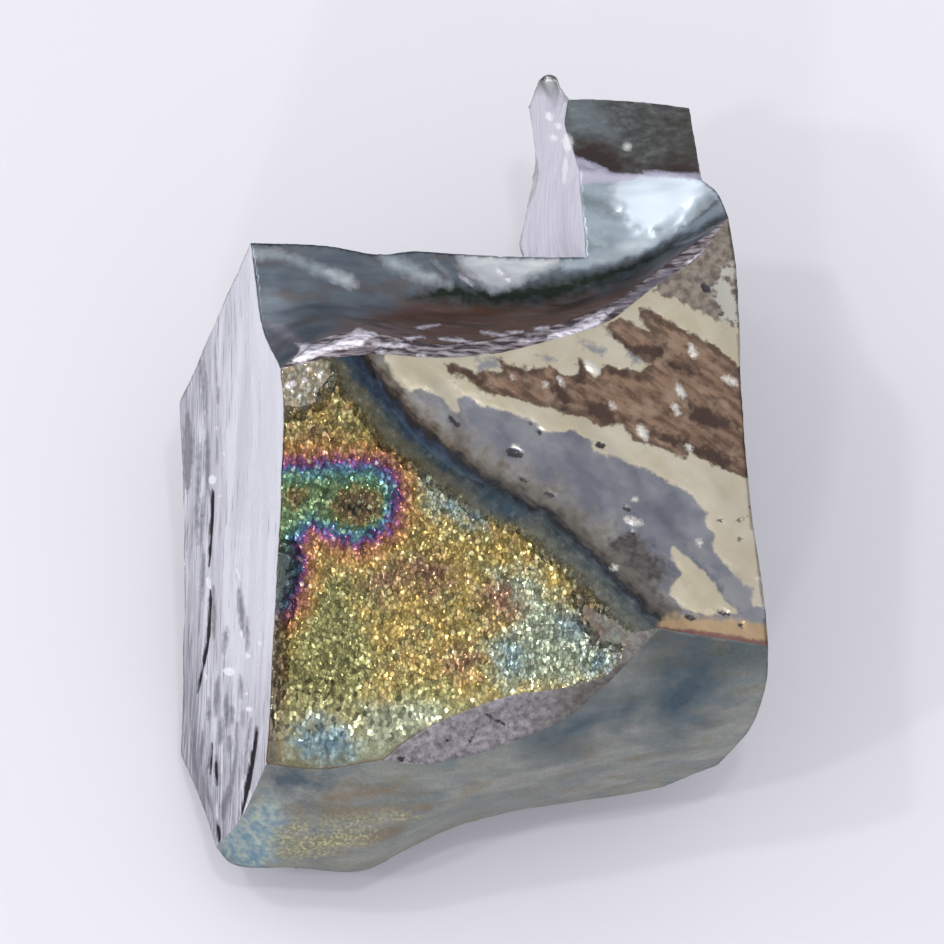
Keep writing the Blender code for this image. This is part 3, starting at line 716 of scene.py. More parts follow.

# %% [markdown]
# Some marks cross from one face to the next, so both faces carry them: the far side of the ridge, the
# slivers along the lip where the metal tore and turned up bright, and the lavender and mauve metal beside
# them. Three faces also share painted highlights: small white spots where the light glints.
# %% Marks that cross an edge
shared_marks = {
    "past_ridge": [
        [(-2.5, 3.7), (-1.9, 2.95), (-1.745, 2.73), (-1.34, 2.22), (-1.08, 1.88), (-0.76, 1.61),
         (-0.45, 1.34), (0.1, 0.97), (0.85, 0.62), (1.5, 0.05), (2.5, -0.95), (3.4, -1.9), (7.0, -1.9),
         (7.0, 7.0), (-2.5, 7.0)],
    ],
    "lavender": [
        [(1.4, 5.84), (1.72, 5.74), (2.02, 5.58), (2.4, 5.57), (2.4, 5.5), (1.98, 5.43), (1.4, 5.4)],
        [(2.45, 5.62), (3.3, 5.56), (3.3, 5.48), (2.45, 5.52)],
    ],
    "slivers": [
        [(-2.5, 3.13), (-2.12, 3.08), (-1.83, 3.18), (-1.6, 3.34), (-1.34, 3.24), (-1.54, 3.09),
         (-2.02, 3.01), (-2.3, 2.89), (-2.56, 2.85), (-2.4, 3.0)],
        [(-1.4, 3.13), (-0.86, 3.1), (-0.92, 3.06), (-1.4, 3.08)],
        [(-0.96, 3.2), (-0.72, 3.23), (-0.65, 3.2), (-0.92, 3.16)],
        oval(-0.63, 3.35, 0.34, 0.03, 8),
        [(-0.49, 3.2), (-0.19, 3.19), (0.09, 3.12), (-0.12, 3.13), (-0.46, 3.17)],
        oval(-1.28, 3.0, 0.15, 0.04, 0), oval(-0.72, 2.95, 0.14, 0.04, 0), oval(0.98, 3.34, 0.24, 0.04, 5),
        oval(0.3, 3.25, 0.36, 0.035, -6), oval(0.6, 3.28, 0.28, 0.035, 4), oval(0.8, 3.17, 0.34, 0.05, 6),
        [(1.08, 3.23), (1.18, 3.31), (1.4, 3.35), (1.78, 3.57), (2.0, 3.6), (1.76, 3.37), (1.35, 3.22),
         (1.05, 3.17)],
        [(3.03, 4.27), (3.52, 4.61), (3.56, 4.58), (3.13, 4.26)],
        oval(-0.09, 4.04, 0.26, 0.05, -37), oval(0.45, 4.11, 0.28, 0.05, -42),
    ],
    "mauve": [
        [(2.02, 3.61), (2.31, 3.85), (2.82, 4.17), (2.84, 4.11), (2.26, 3.7)],
        [(-2.96, 3.42), (-2.5, 3.13), (-2.31, 3.08), (-2.6, 3.32)],
    ],
    # painted highlights: white spots where the light glints on the sheared end, the lug's side and its top
    "painted_glints": ovals(
        (-3.71, 1.19, 0.17, 0.13, 0), (-3.63, 1.92, 0.07, 0.05, 0), (-3.75, -0.29, 0.2, 0.09, -65),
        (-3.21, -1.31, 0.09, 0.07, 0), (-3.45, -1.54, 0.14, 0.12, 0), (-3.03, -1.13, 0.1, 0.05, -60),
        (-3.185, -2.06, 0.1, 0.07, 0), (-3.35, -0.15, 0.2, 0.03, -70), (-3.3, -1.0, 0.14, 0.04, -80),
        (-3.52, 1.55, 0.06, 0.03, -60), (-3.58, 0.95, 0.05, 0.03, 0), (-3.22, -1.85, 0.07, 0.04, 0),
        (-3.77, -1.62, 0.12, 0.04, -70), (-3.4, 1.75, 0.05, 0.03, 0), (-3.28, 0.4, 0.05, 0.03, 0),
        (1.13, 6.42, 0.14, 0.1, -60), (1.25, 6.27, 0.1, 0.07, -65), (1.36, 6.02, 0.26, 0.14, -85),
        (1.32, 5.62, 0.42, 0.1, 88), (1.19, 6.1, 0.09, 0.06, -80), (2.22, 5.96, 0.1, 0.09, 0),
    ),
}


def shared(*names):
    """Some of the marks that cross an edge."""
    return {name: shared_marks[name] for name in names}


print("across an edge:", *shared_marks)

# %% [markdown]
# On the coloured face the oxide film is thickest in a ring near the sheared end, with two eyes in it, and
# has scorched the edge below. Elsewhere it drifts from olive to rust and pale blue, and the top corner is
# bare.
# %% Marks on the coloured face
film_marks = {
    "ring": [
        [(-3.3, 1.47), (-2.6, 1.45), (-1.95, 1.47), (-1.35, 1.45), (-1.11, 1.32), (-1.02, 1.08),
         (-1.03, 0.75), (-1.2, 0.43), (-1.59, 0.24), (-1.97, 0.36), (-2.26, 0.46), (-2.41, 0.29),
         (-2.36, -0.1), (-2.46, -0.43), (-2.6, -0.7), (-3.3, -0.8)],
    ],
    "eyes": ovals((-1.63, 0.82, 0.84, 0.72, 0), (-2.5, 0.95, 0.4, 0.5, 0)),
    "scorch": [
        [(-3.1, 0.3), (-2.52, 0.26), (-2.48, -0.1), (-2.56, -0.45), (-2.66, -0.8), (-2.74, -2.9),
         (-3.1, -3.0)],
    ],
    "bare_corner": [[(-2.9, 3.0), (-1.85, 3.0), (-1.95, 2.6), (-2.15, 2.25), (-2.4, 2.1), (-2.9, 2.15)]],
    "bare_specks": ovals(
        (-2.56, 2.53, 0.15, 0.1, 20), (-2.36, 2.6, 0.09, 0.06, 0), (-2.15, 2.67, 0.1, 0.07, 40),
        (-2.45, 2.36, 0.06, 0.05, 0), (-2.2, 2.45, 0.06, 0.04, 0), (-2.32, 2.75, 0.05, 0.05, 0),
    ),
    "olive_film": [
        [(-2.5, -0.1), (-1.7, -0.3), (-1.3, -1.2), (-1.5, -2.1), (-2.6, -2.2)],
        oval(-0.75, -2.0, 1.2, 0.5, 10),
    ],
    "rust_film": ovals(
        (-0.63, -0.12, 0.65, 0.45, 0), (0.4, -0.52, 0.6, 0.45, -30), (-0.16, -1.38, 0.45, 0.3, 0),
        (-1.2, -0.2, 0.5, 0.3, 20), (-2.2, 1.75, 0.7, 0.26, 0), (-1.0, 1.75, 0.5, 0.2, -40),
    ),
    "pale_film": [
        [(0.25, -0.1), (0.8, -0.1), (1.35, -0.65), (2.0, -1.15), (1.75, -1.6), (0.5, -1.8), (0.2, -1.3),
         (0.6, -0.85)],
        oval(-0.5, 0.95, 0.9, 0.35, -38),
    ],
    "blue_film": ovals(
        (-0.3, 0.82, 0.32, 0.2, -30), (0.02, 0.7, 0.3, 0.2, -30), (-0.7, 1.22, 0.4, 0.16, -40),
        (0.55, -1.28, 0.34, 0.42, 0), (1.4, -0.88, 0.42, 0.3, -50), (1.85, -1.38, 0.5, 0.28, 15),
        (-2.1, -2.52, 0.9, 0.6, -8),
    ),
    "dull_film": [[(1.5, -0.4), (2.4, -0.95), (2.2, -1.2), (1.8, -1.12), (1.5, -0.75)]],
    "beige_film": [
        [(-1.55, -2.0), (-0.7, -1.95), (-0.35, -2.1), (-0.7, -2.5), (-1.25, -2.85), (-1.6, -2.8)],
    ],
    "sparkly_patch": ovals((-0.6, -1.7, 1.7, 0.8, 0)),
    "steel_blue": ovals((0.42, 0.83, 0.66, 0.24, -30)),
}
print("on the coloured face:", *film_marks)

# %% [markdown]
# Behind the lip the hollow is brown, then nearly black, then slate, with pale streaks that run down from
# the crest and end in painted highlights. The lug's front is painted pale where it turns to the light, with
# painted shade low on its left and a painted glare.
# %% Marks in the hollow and on the lug
hollow_marks = {
    "brown_floor": [
        [(-2.1, 3.2), (-1.6, 3.45), (-1.1, 3.66), (-0.63, 3.76), (0.34, 3.69), (1.06, 3.73), (1.78, 3.88),
         (2.5, 4.19), (3.23, 4.55), (3.75, 4.9), (3.9, 4.6), (2.9, 4.0), (2.0, 3.3), (1.2, 3.1),
         (-2.1, 2.9)],
    ],
    "black_floor": [
        [(-0.9, 3.76), (-0.5, 3.96), (-0.2, 3.98), (0.14, 3.88), (0.72, 3.93), (1.3, 4.06), (1.88, 4.19),
         (2.46, 4.4), (3.03, 4.64), (3.5, 4.88), (3.23, 4.6), (2.5, 4.24), (1.78, 3.95), (1.06, 3.74),
         (0.4, 3.66), (-0.2, 3.72)],
    ],
    "pale_streaks": [
        [(-3.25, 4.46), (-2.8, 4.43), (-2.25, 4.27), (-1.72, 4.03), (-1.7, 3.95), (-2.05, 4.08),
         (-2.6, 4.3), (-3.25, 4.38)],
        [(-1.38, 4.5), (-1.2, 4.4), (-0.67, 4.14), (-0.31, 3.95), (-0.72, 4.03), (-1.16, 4.21)],
        [(1.59, 4.34), (1.83, 4.37), (2.55, 4.73), (3.47, 5.18), (2.99, 4.82), (2.31, 4.48), (1.69, 4.28)],
    ],
    # painted highlights at the ends of the pale streaks
    "painted_highlight_tips": [
        [(-2.0, 4.14), (-1.7, 4.05), (-1.66, 3.92), (-1.95, 4.04)],
        [(-0.2, 4.5), (-0.12, 4.2), (0.08, 4.02), (0.29, 3.86), (0.6, 3.96), (1.01, 4.17), (1.25, 4.28),
         (1.3, 4.5)],
    ],
    "grooves": [
        oval(-0.45, 4.2, 0.4, 0.06, -42), oval(-0.12, 4.1, 0.5, 0.06, -48),
        [(2.99, 4.74), (3.16, 4.93), (3.54, 5.24), (3.52, 5.15), (3.18, 4.89)],
        [(2.87, 4.53), (3.28, 4.74), (3.61, 4.89), (3.61, 4.82), (3.03, 4.53)],
    ],
    # painted light: the lug's front is painted pale where it faces the light
    "lit_lug_front": [
        [(1.4, 5.7), (1.3, 4.2), (1.88, 4.25), (2.46, 4.44), (3.03, 4.68), (3.6, 5.0), (3.8, 5.4),
         (3.61, 5.8)],
    ],
    # painted shade low on the lug's front
    "lug_shade": [
        [(1.5, 5.32), (1.78, 5.25), (2.14, 5.01), (2.05, 4.91), (1.83, 4.99), (1.5, 5.11)],
        [(1.3, 4.6), (1.7, 4.75), (2.1, 4.62), (2.0, 4.5), (1.6, 4.4), (1.3, 4.4)],
    ],
    # painted highlight: a glare on the lug's front
    "painted_lug_glare": [
        [(2.02, 5.35), (2.07, 5.75), (3.4, 5.65), (3.5, 5.35), (3.28, 5.2), (2.75, 4.86), (2.46, 4.74),
         (2.26, 4.82), (2.17, 5.03), (2.05, 5.06)],
    ],
}
lug_bumps = [(2.13, 5.09), (2.35, 4.78), (2.61, 4.72), (2.99, 4.75), (2.76, 4.54)]
lug_marks = {
    "lug_brown": [
        [(1.4, 5.95), (1.73, 6.09), (2.02, 5.97), (2.26, 5.78), (2.29, 5.5), (1.4, 5.5)],
        [(2.41, 5.4), (2.41, 5.64), (2.77, 5.78), (3.23, 5.73), (3.5, 5.3)],
    ],
    "lug_pale": [[(1.3, 6.8), (1.69, 6.65), (2.07, 6.21), (2.02, 6.02), (1.83, 6.12), (1.3, 6.2)]],
}
print("in the hollow:", *hollow_marks)

# %% [markdown]
# The skin is the oldest surface. It has a dark blue spot at its right end, and rust and gold near the toe.
# Along the sheared end run cracks that taper out, and round them the metal is scuffed. A broad dark
# stroke along its left edge is painted shade.
# %% Marks on the skin and the sheared end
skin_marks = {
    "skin_blue": ovals((2.95, -1.8, 1.3, 0.9, 40), (1.6, -2.25, 1.8, 0.4, 22)),
    "skin_heel": ovals((-2.45, -3.05, 0.9, 0.35, -10)),
    "skin_toe": [[(-3.1, -3.3), (-2.75, -3.3), (-2.7, -3.9), (-2.9, -4.4), (-3.9, -4.4), (-3.3, -3.6)]],
    "skin_gold": ovals(
        (-2.06, -3.95, 1.3, 0.24, 12), (-1.45, -3.62, 1.3, 0.05, 3), (-2.6, -3.82, 0.5, 0.16, 40),
    ),
    "skin_rust": ovals(
        (-1.35, -3.5, 1.5, 0.04, 4), (-1.3, -3.85, 0.7, 0.08, 20), (-1.6, -3.25, 1.0, 0.1, 8),
    ),
}
shear_marks = {
    "cracks": [
        [(-3.735, 1.05), (-3.695, 1.0), (-3.7, 0.65), (-3.75, 0.1), (-3.775, -0.05), (-3.77, 0.45),
         (-3.75, 0.8)],
        [(-3.74, -0.36), (-3.705, -0.5), (-3.725, -1.0), (-3.77, -1.3), (-3.84, -1.55), (-3.93, -1.85),
         (-3.86, -1.5), (-3.795, -1.15), (-3.77, -0.8)],
        [(-3.08, -2.3), (-3.06, -2.4), (-3.11, -2.8), (-3.17, -3.2), (-3.29, -3.6), (-3.24, -3.2),
         (-3.19, -2.95), (-3.13, -2.6)],
        oval(-3.7, -2.8, 0.45, 0.02, -94), oval(-3.62, -3.0, 0.34, 0.025, -88),
        oval(-3.605, -3.85, 0.25, 0.03, -90),
    ],
    "scuffs_and_edge_shade": ovals(
        (-3.94, 0.9, 1.1, 0.05, -92), (-3.89, 0.6, 0.7, 0.04, -92), (-3.2, -2.6, 0.9, 0.05, -96),
        (-3.36, -2.5, 0.5, 0.06, -92), (-3.98, -2.5, 0.5, 0.05, -82), (-3.48, -2.1, 0.5, 0.05, -90),
        # the widest oval here, at (-4.08, 1.6), is painted shade along the left edge, not a scuff
        (-3.88, 2.6, 0.9, 0.05, -88), (-3.8, 1.4, 0.9, 0.08, -88), (-4.08, 1.6, 1.2, 0.16, -90),
        (-3.86, -0.2, 0.7, 0.06, -92), (-3.66, -0.7, 0.8, 0.07, -88), (-3.3, -0.7, 0.7, 0.08, -85),
        (-3.6, -1.9, 0.6, 0.07, -94), (-3.42, -2.15, 0.25, 0.05, -90), (-3.27, -2.2, 0.25, 0.04, -90),
        (-3.6, -2.95, 0.45, 0.08, -88), (-3.4, -3.0, 0.9, 0.07, -98), (-3.97, -2.8, 0.6, 0.08, -80),
        (-3.75, -3.3, 0.5, 0.06, -75), (-3.22, -1.0, 0.5, 0.05, -90), (-3.62, 1.6, 0.4, 0.04, -90),
        (-3.605, 2.4, 0.25, 0.04, -90), (-3.61, -3.78, 0.3, 0.07, -90), (-3.83, -2.65, 0.5, 0.06, -96),
        (-3.84, 2.5, 1.3, 0.03, -89), (-3.64, 2.75, 0.7, 0.025, -86), (-3.93, 1.0, 1.5, 0.03, -91),
        (-3.5, -1.1, 0.4, 0.05, -95), (-3.3, -1.75, 0.35, 0.05, -85), (-3.55, -2.4, 0.4, 0.06, -92),
        (-3.45, -2.6, 0.3, 0.05, -88), (-3.72, -2.1, 0.35, 0.05, -90), (-3.5, -3.4, 0.5, 0.07, -100),
    ),
}
print(len(shear_marks["cracks"]), "cracks")

# %% [markdown]
# Each kind of mark belongs to one or two faces. How deep a vertex lies in a mark is kept as a number on the
# vertex: positive inside, negative outside, in millimetres.
# %% Which face carries which marks
MARKS = {
    "mirror_face": mirror_marks | shared("past_ridge"),
    "sheared_end": shear_marks | shared("painted_glints"),
    "lug_side": shared("painted_glints"),
    "coloured_face": film_marks | shared("past_ridge"),
    "ridge_band": film_marks | shared("past_ridge"),
    "hollow": hollow_marks | shared("slivers", "mauve", "lavender"),
    "lip": shared("slivers", "mauve"),
    "lug_top": lug_marks | shared("lavender", "painted_glints"),
    "skin": skin_marks,
    "grey_seam": {
        "pits": ovals(
            (-1.0, -2.75, 0.12, 0.09, 0), (-0.35, -2.5, 0.1, 0.05, 20), (0.35, -2.2, 0.5, 0.04, -30),
            (0.0, -2.45, 0.45, 0.03, 60),
        ),
    },
}
print({face: len(marks) for face, marks in MARKS.items()}, "kinds of mark")
FAR_OUT = -0.5  # how deep a vertex far from every mark is said to be, mm


def depth_in(marks, points):
    """How deep points lie inside the nearest of some marks, negative outside."""
    deepest = np.full(len(points), FAR_OUT)
    for outline in map(np.array, marks):
        away = distance_to_outline(outline, points)
        signed = np.where(in_parts(lambda some: inside(outline, some), points), away, -away)
        deepest = np.maximum(deepest, signed)
    return deepest


def square_on(points):
    """Across, up and out of leaned points."""
    return (points - np.array(GROUND_DROP)) @ np.array([ACROSS, UP, OUT]).T


# %% [markdown]
# ## Relief
# So far every face is smooth. What makes metal look broken is its relief, and each face broke in its own
# way. A texture could fake all of it as bumps, but bumps leave the outline smooth, so the relief that the
# eye can follow is real: ledges, streaks, cracks, slivers and grains. The finest grain is left to the
# finishes.
# %% Noise at many points at once
def noisy(points, size, stretch=(1.0, 1.0, 1.0)):
    """Smooth noise, about -1 to 1. A stretch under 1 draws the noise out along that axis."""
    scaled = (points * np.array(stretch) / size).tolist()
    return np.array([noise.noise(point) for point in scaled])


def eased(values, end):
    """0 below 0, 1 above end, and a smooth rise between."""
    share = np.clip(values / end, 0.0, 1.0)
    return share * share * (3 - 2 * share)


def ledges(points, direction, pitch, height):
    """Steps of a split surface: flat treads with short risers, crossing it along direction."""
    phase = points @ np.array(direction) / pitch + 0.6 * noisy(points, 1.7)
    tread = phase - np.floor(phase)
    return height * np.where(tread < 0.8, tread, 4 * (1 - tread))


# %% [markdown]
# Vanadium is a mass of grown-together crystals. Where the surface follows them, each crystal shows as a
# tiny flat facet, tilted its own way. A Voronoi pattern gives every point its nearest grain, and the grain
# gives the tilt.
# %% Tilted grains
SHUFFLE = 31.7  # spreads the middles of the grains, so that each draws a tilt of its own


def grains(points, size, tilt):
    """The height of small facets, each tilted at random."""
    heights = []
    for point in (points / size).tolist():
        centre = noise.voronoi(point)[1][0]
        lean = noise.cell_vector(centre * SHUFFLE) - Vector((0.5, 0.5, 0.5))
        heights.append(lean.dot(Vector(point) - centre))
    return np.array(heights) * size * tilt


# %% [markdown]
# The broad relief is the solid's own, so that the fine piece keeps to it. It dies away near a face's edges,
# where two faces have to meet.
# %% Broad relief
def broad_relief(face, points):
    """How far a face's broad forms stand out from its sheet, mm."""
    if face == "underside":
        return np.zeros(len(points))
    if face == "coloured_face":
        return 0.02 * noisy(points, 0.9)
    if face == "mirror_face":
        return ledges(points, (0.55, 0.75, -0.2), 1.3, 0.045)
    if face in ("skin", "grey_seam"):
        return 0.05 * noisy(points, 1.6)
    if face in ("sheared_end", "lug_side"):
        up = np.array(UP)
        return 0.07 * noisy(points - 0.85 * np.outer(points @ up, up), 0.7)
    if face == "hollow":
        return 0.05 * noisy(points, 0.8)
    if face in ("lip", "lug_top", "ridge_band"):
        return 0.03 * noisy(points, 0.7)
    broken = grains(points, 1.5, 0.5) - ledges(points, (0.35, 0.3, 0.85), 1.2, 0.12)
    return np.minimum(broken - 0.06, 0.0)


# %% [markdown]
# The fine relief uses the marks: slivers stand up, pits and cracks go in, and the patches of the mirror
# face are shallow steps, because each is a layer of crystal that split off at its own depth.
# %% Fine relief
def drawn_metal(face, square, depth):
    """Fine lines along a shear, and the cracks between them."""
    lines = 0.012 * noisy(square, 0.07, (1, 0.06, 1)) + 0.018 * noisy(square, 0.2, (1, 0.1, 1))
    if face == "lug_side":
        return 0.3 * lines
    rougher = 0.2 + 0.6 * eased(-0.9 - square[:, 2], 1.5)
    return lines * rougher - 0.022 * eased(depth["cracks"] + 0.04, 0.05)


def fine_relief(face, points, square, depth):
    """The small forms of a face; depth says how deep each point lies in each kind of mark, mm."""
    if face == "coloured_face":
        worn = np.maximum(np.maximum(depth["dull_film"], depth["scorch"]), depth["past_ridge"] + 0.35)
        worn = eased(worn + 0.1, 0.2)
        low = eased(-1.6 - square[:, 1], 0.85)
        return grains(square * (1.0, 0.75, 1.0), 0.1, 0.36) * (1 - 0.85 * worn) * (1 - 0.9 * low)
    if face == "mirror_face":
        steps = 0.004 * eased(depth["cream"], 0.05) - 0.008 * eased(depth["brown"], 0.06)
        steps += 0.006 * noisy(square, 0.1) * eased(depth["brown"], 0.1) - 0.006 * eased(depth["char"], 0.05)
        return steps + 0.012 * eased(depth["flakes"], 0.03) - 0.03 * eased(depth["pits"] + 0.01, 0.05)
    if face in ("sheared_end", "lug_side"):
        return drawn_metal(face, square, depth)
    if face == "hollow":
        spots = [np.exp(-(((square[:, :2] - spot) / 0.05) ** 2).sum(axis=1)) for spot in lug_bumps]
        flow = 0.01 * noisy(square, 0.12, (0.2, 1, 1)) - 0.025 * eased(depth["grooves"] + 0.01, 0.04)
        return flow + 0.03 * eased(depth["slivers"], 0.04) + 0.03 * np.max(spots, axis=0)
    if face == "lip":
        return 0.035 * eased(depth["slivers"], 0.04) + 0.015 * noisy(square, 0.09, (0.4, 1, 1))
    if face == "skin":
        return 0.005 * noisy(square, 0.25, (0.4, 1, 1)) + 0.002 * noisy(square, 0.09)
    if face == "grey_seam":
        return 0.012 * noisy(square, 0.12) - 0.03 * eased(depth["pits"], 0.04)
    if face == "lug_top":
        return grains(square, 0.28, 0.14) + 0.006 * noisy(square, 0.1)
    if face == "ridge_band":
        return 0.006 * noisy(square, 0.15)
    if face == "underside":
        return np.zeros(len(points))
    return grains(square, 0.42, 0.22) + 0.012 * noisy(square, 0.12, (1, 1, 0.15))


# %% [markdown]
# ## Build every face
# One pass fills a face: rows of points, the springy sheet through its edge, the relief on top, and the
# triangles. Each vertex also keeps the numbers that the finishes ask for.
# %% Fill one face
BROAD_FADE, FINE_FADE, GRAIN_FADE = 0.45, 0.06, 0.25  # relief dies away this near an edge, mm
INSIDE_ONLY, SAME_POINT = 1, 1e-6  # which triangles are made, and how near two points are one, mm
triangles = []
triangle_face = []
kept = {}  # for each number that a finish asks for, its value by vertex


def keep(name, numbers, values):
    """Keeps a value for some vertices, for a finish to ask for."""
    kept.setdefault(name, {}).update(zip(numbers, np.asarray(values, dtype=float).tolist()))


def chain_line(chain):
    """The points of a chain's edge, in order."""
    line = [vertices[n] for pair in zip(chain, chain[1:]) for n in stretches[pair]]
    return np.array([*line, places[chain[-1]]])


def joined_triangles(face, outline, points):
    """Triangles between an outline and the points inside it, as places in the two lists together."""
    flat = [Vector(point) for point in np.vstack([outline, points])]
    ring = list(range(len(outline)))
    made, _, corner_lists, given, *_ = delaunay_2d_cdt(flat, sides(ring), [ring], INSIDE_ONLY, SAME_POINT)
    if len(made) != len(flat):
        raise ValueError(f"{face}: its outline crosses itself")
    return [[given[corner][0] for corner in triangle] for triangle in corner_lists]


def fill(face):
    """Makes a face's vertices and triangles."""
    ring_numbers = ring_of(face)
    ring_points = np.array([vertices[number] for number in ring_numbers])
    middle, axes = face_frame(ring_points)
    local = (ring_points - middle) @ axes.T
    held_step = max(1, round(HELD_EVERY / FACE_SPACING[face]))
    through = np.array([leaned(*place) for place in THROUGH.get(face, [])]).reshape(-1, 3)
    held = np.vstack([local[::held_step], (through - middle) @ axes.T])
    rows = rows_inside(local[:, :2], FACE_SPACING[face])
    heights = smooth_heights(held[:, :2], held[:, 2], rows)
    points = middle + np.column_stack([rows, heights]) @ axes
    square = square_on(points)
    from_edge = distance_to_outline(local[:, :2], rows)
    depth = {name: depth_in(marks, square[:, :2]) for name, marks in MARKS.get(face, {}).items()}
    lift = broad_relief(face, points) * eased(from_edge, BROAD_FADE)
    fade = GRAIN_FADE if face == "coloured_face" else FINE_FADE
    lift += fine_relief(face, points, square, depth) * eased(from_edge, fade)
    numbers = [new_vertex(Vector(point)) for point in points + lift[:, None] * axes[2]]
    everyone = [*ring_numbers, *numbers]
    keep("from_edge", everyone, np.append(np.zeros(len(ring_numbers)), from_edge))
    ring_square = square_on(ring_points)[:, :2]
    for name, marks in MARKS.get(face, {}).items():
        keep(name, everyone, np.append(depth_in(marks, ring_square), depth[name]))
    for triangle in joined_triangles(face, local[:, :2], rows):
        triangles.append([everyone[corner] for corner in triangle])
        triangle_face.append(face)
    return everyone


# %% [markdown]
# Filling all the faces takes a few seconds. The count has to stay well under 200,000 triangles for a piece.
# %% Fill them all
face_vertices = {face: fill(face) for face in outlines}
print(len(vertices), "vertices,", len(triangles), "triangles")

# %% [markdown]
# A few more numbers for the finishes: how far places on some faces are from an edge. The sheared end
# gets a painted highlight along its rim, and the skin changes colour towards its hem and its keel.
# %% Distances that the finishes ask for
def points_of(face):
    """The vertex numbers of a face, and their places."""
    numbers = face_vertices[face]
    return numbers, np.array([vertices[number] for number in numbers])


for face, chain, name in [
    ("sheared_end", LEFT_RIM, "from_rim"),
    ("lug_side", LUG_EDGE + LUG_CREASE[1:], "from_rim"),
    ("skin", KEEL[:-1], "from_keel"),
    ("skin", HEM, "from_hem"),
]:
    numbers, points = points_of(face)
    keep(name, numbers, distance_to_line(chain_line(chain), points))

print(sorted(kept))

# %% [markdown]
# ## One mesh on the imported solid
# The mesh could be moved until it looks right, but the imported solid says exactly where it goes. Two named
# points are the furthest right and the furthest back of the whole piece, so they lie on the solid's box.
# %% Move it onto the solid
shift = Vector((solid_high.x - places["right_low"].x, solid_high.y - places["hook_right"].y, 0.0))
mesh = bpy.data.meshes.new("broken_vanadium")
mesh.from_pydata([(vertex + shift) * MM for vertex in vertices], [], triangles)
mesh.validate()
mesh.shade_smooth()
piece = bpy.data.objects.new("broken_vanadium", mesh)
bpy.context.scene.collection.objects.link(piece)

for name, values in kept.items():
    numbers_kept = np.full(len(vertices), FAR_OUT)
    numbers_kept[list(values)] = list(values.values())
    mesh.attributes.new(name, "FLOAT", "POINT").data.foreach_set("value", numbers_kept)
print("moved by", [round(move, 3) for move in shift], "mm")

# %% [markdown]
# ## Tools for the finishes
# A finish is a small machine of nodes: patterns go in, and colour, roughness and bumps come out. Wiring
# each by hand is slow and hard to read, so a few short functions add a node, join it up and give its
# output. Everything on a finish's node tree knows which tree it is on, so a new node can be put on the tree
# of whatever goes into it.
# %% Add a node and join it up
def is_output(value):
    """Whether a value is a node's output rather than a number or a colour."""
    return isinstance(value, bpy.types.NodeSocket)


def join(socket, value):
    """Gives an input a value, a colour or another node's output."""
    if is_output(value):
        socket.id_data.links.new(value, socket)
    elif isinstance(value, tuple) and socket.type == "RGBA":
        socket.default_value = (*value, 1.0)
    else:
        socket.default_value = value


def add(kind, inputs, tree=None, **settings):
    """A new node, with its settings and what goes into it, in the given tree or the tree of its inputs."""
    tree = tree or next(value.id_data for value in inputs.values() if is_output(value))
    node = tree.nodes.new(kind)
    for name, value in settings.items():
        setattr(node, name, value)
    for name, value in inputs.items():
        join(node.inputs[name], value)
    return node


def vectors(operation, first, second, output="Vector"):
    """What the operation makes of two vectors."""
    return add("ShaderNodeVectorMath", {0: first, 1: second}, operation=operation).outputs[output]


# %% [markdown]
# Patterns need a place to look from. Blender's object coordinates are in metres along the table, but the
# marks and streaks follow the faces, so the coordinates are turned back by the lean and given in
# millimetres.
# %% Coordinates that follow the faces
def square_place(tree):
    """Across, up and out, in millimetres."""
    table = add("ShaderNodeTexCoord", {}, tree).outputs["Object"]
    origin = shift + GROUND_DROP
    node = add("ShaderNodeMapping", {"Vector": table})
    node.inputs["Scale"].default_value = (1 / MM, 1 / MM, 1 / MM)
    node.inputs["Rotation"].default_value = (-LEAN, 0.0, 0.0)
    node.inputs["Location"].default_value = (-origin.dot(ACROSS), -origin.dot(UP), -origin.dot(OUT))
    return node.outputs["Vector"]


def parts(place):
    """Across, up and out on their own, as X, Y and Z."""
    return add("ShaderNodeSeparateXYZ", {0: place}).outputs


def drawn_out(place, stretch):
    """Coordinates in which a pattern is drawn out along the axes whose stretch is small."""
    return vectors("MULTIPLY", place, stretch)


def slanted(place, angle):
    """Coordinates turned about the way out."""
    node = add("ShaderNodeVectorRotate", {"Vector": place, "Angle": angle}, rotation_type="Z_AXIS")
    return node.outputs[0]


# %% [markdown]
# Every finish starts from the same bare metal, and what is even all over is set on its shader. The finish
# hands back its shader and its coordinates. At the end its colour and bumps are joined to the shader.
# %% Begin a finish and end it
finishes = {}


def new_finish(name, roughness):
    """A new bare-metal material: its shader and its coordinates."""
    finishes[name] = material = bpy.data.materials.new(name)
    material.use_nodes = True
    shader = material.node_tree.nodes["Principled BSDF"]
    shader.inputs["Metallic"].default_value = 1.0
    shader.inputs["Roughness"].default_value = roughness
    return shader, square_place(material.node_tree)


def finish_off(shader, colour, raised=None, reach=0.0, roughness=None):
    """Joins the colour, the bumps where there are any, by reach in mm, and a roughness that changes."""
    join(shader.inputs["Base Color"], colour)
    if roughness is not None:
        join(shader.inputs["Roughness"], roughness)
    if raised is not None:
        bump = add("ShaderNodeBump", {"Height": raised, "Distance": reach * MM})
        join(shader.inputs["Normal"], bump.outputs["Normal"])
    print(len(shader.id_data.nodes), "nodes")


# %% [markdown]
# The rest of the tools are short: a noise of a given size, a value fitted from one range to another, sums,
# a colour laid over another, and a ramp of colours.
# %% Patterns and values
def cloud(place, size, detail=3.0):
    """Smooth noise with blobs of about that size in millimetres, mostly from 0.3 to 0.7."""
    inputs = {"Vector": place, "Scale": 1 / size, "Detail": detail, "Roughness": 0.55}
    return add("ShaderNodeTexNoise", inputs).outputs["Fac"]


def drawn_cloud(place, stretch, size, detail=3.0):
    """Smooth noise drawn out into streaks."""
    return cloud(drawn_out(place, stretch), size, detail)


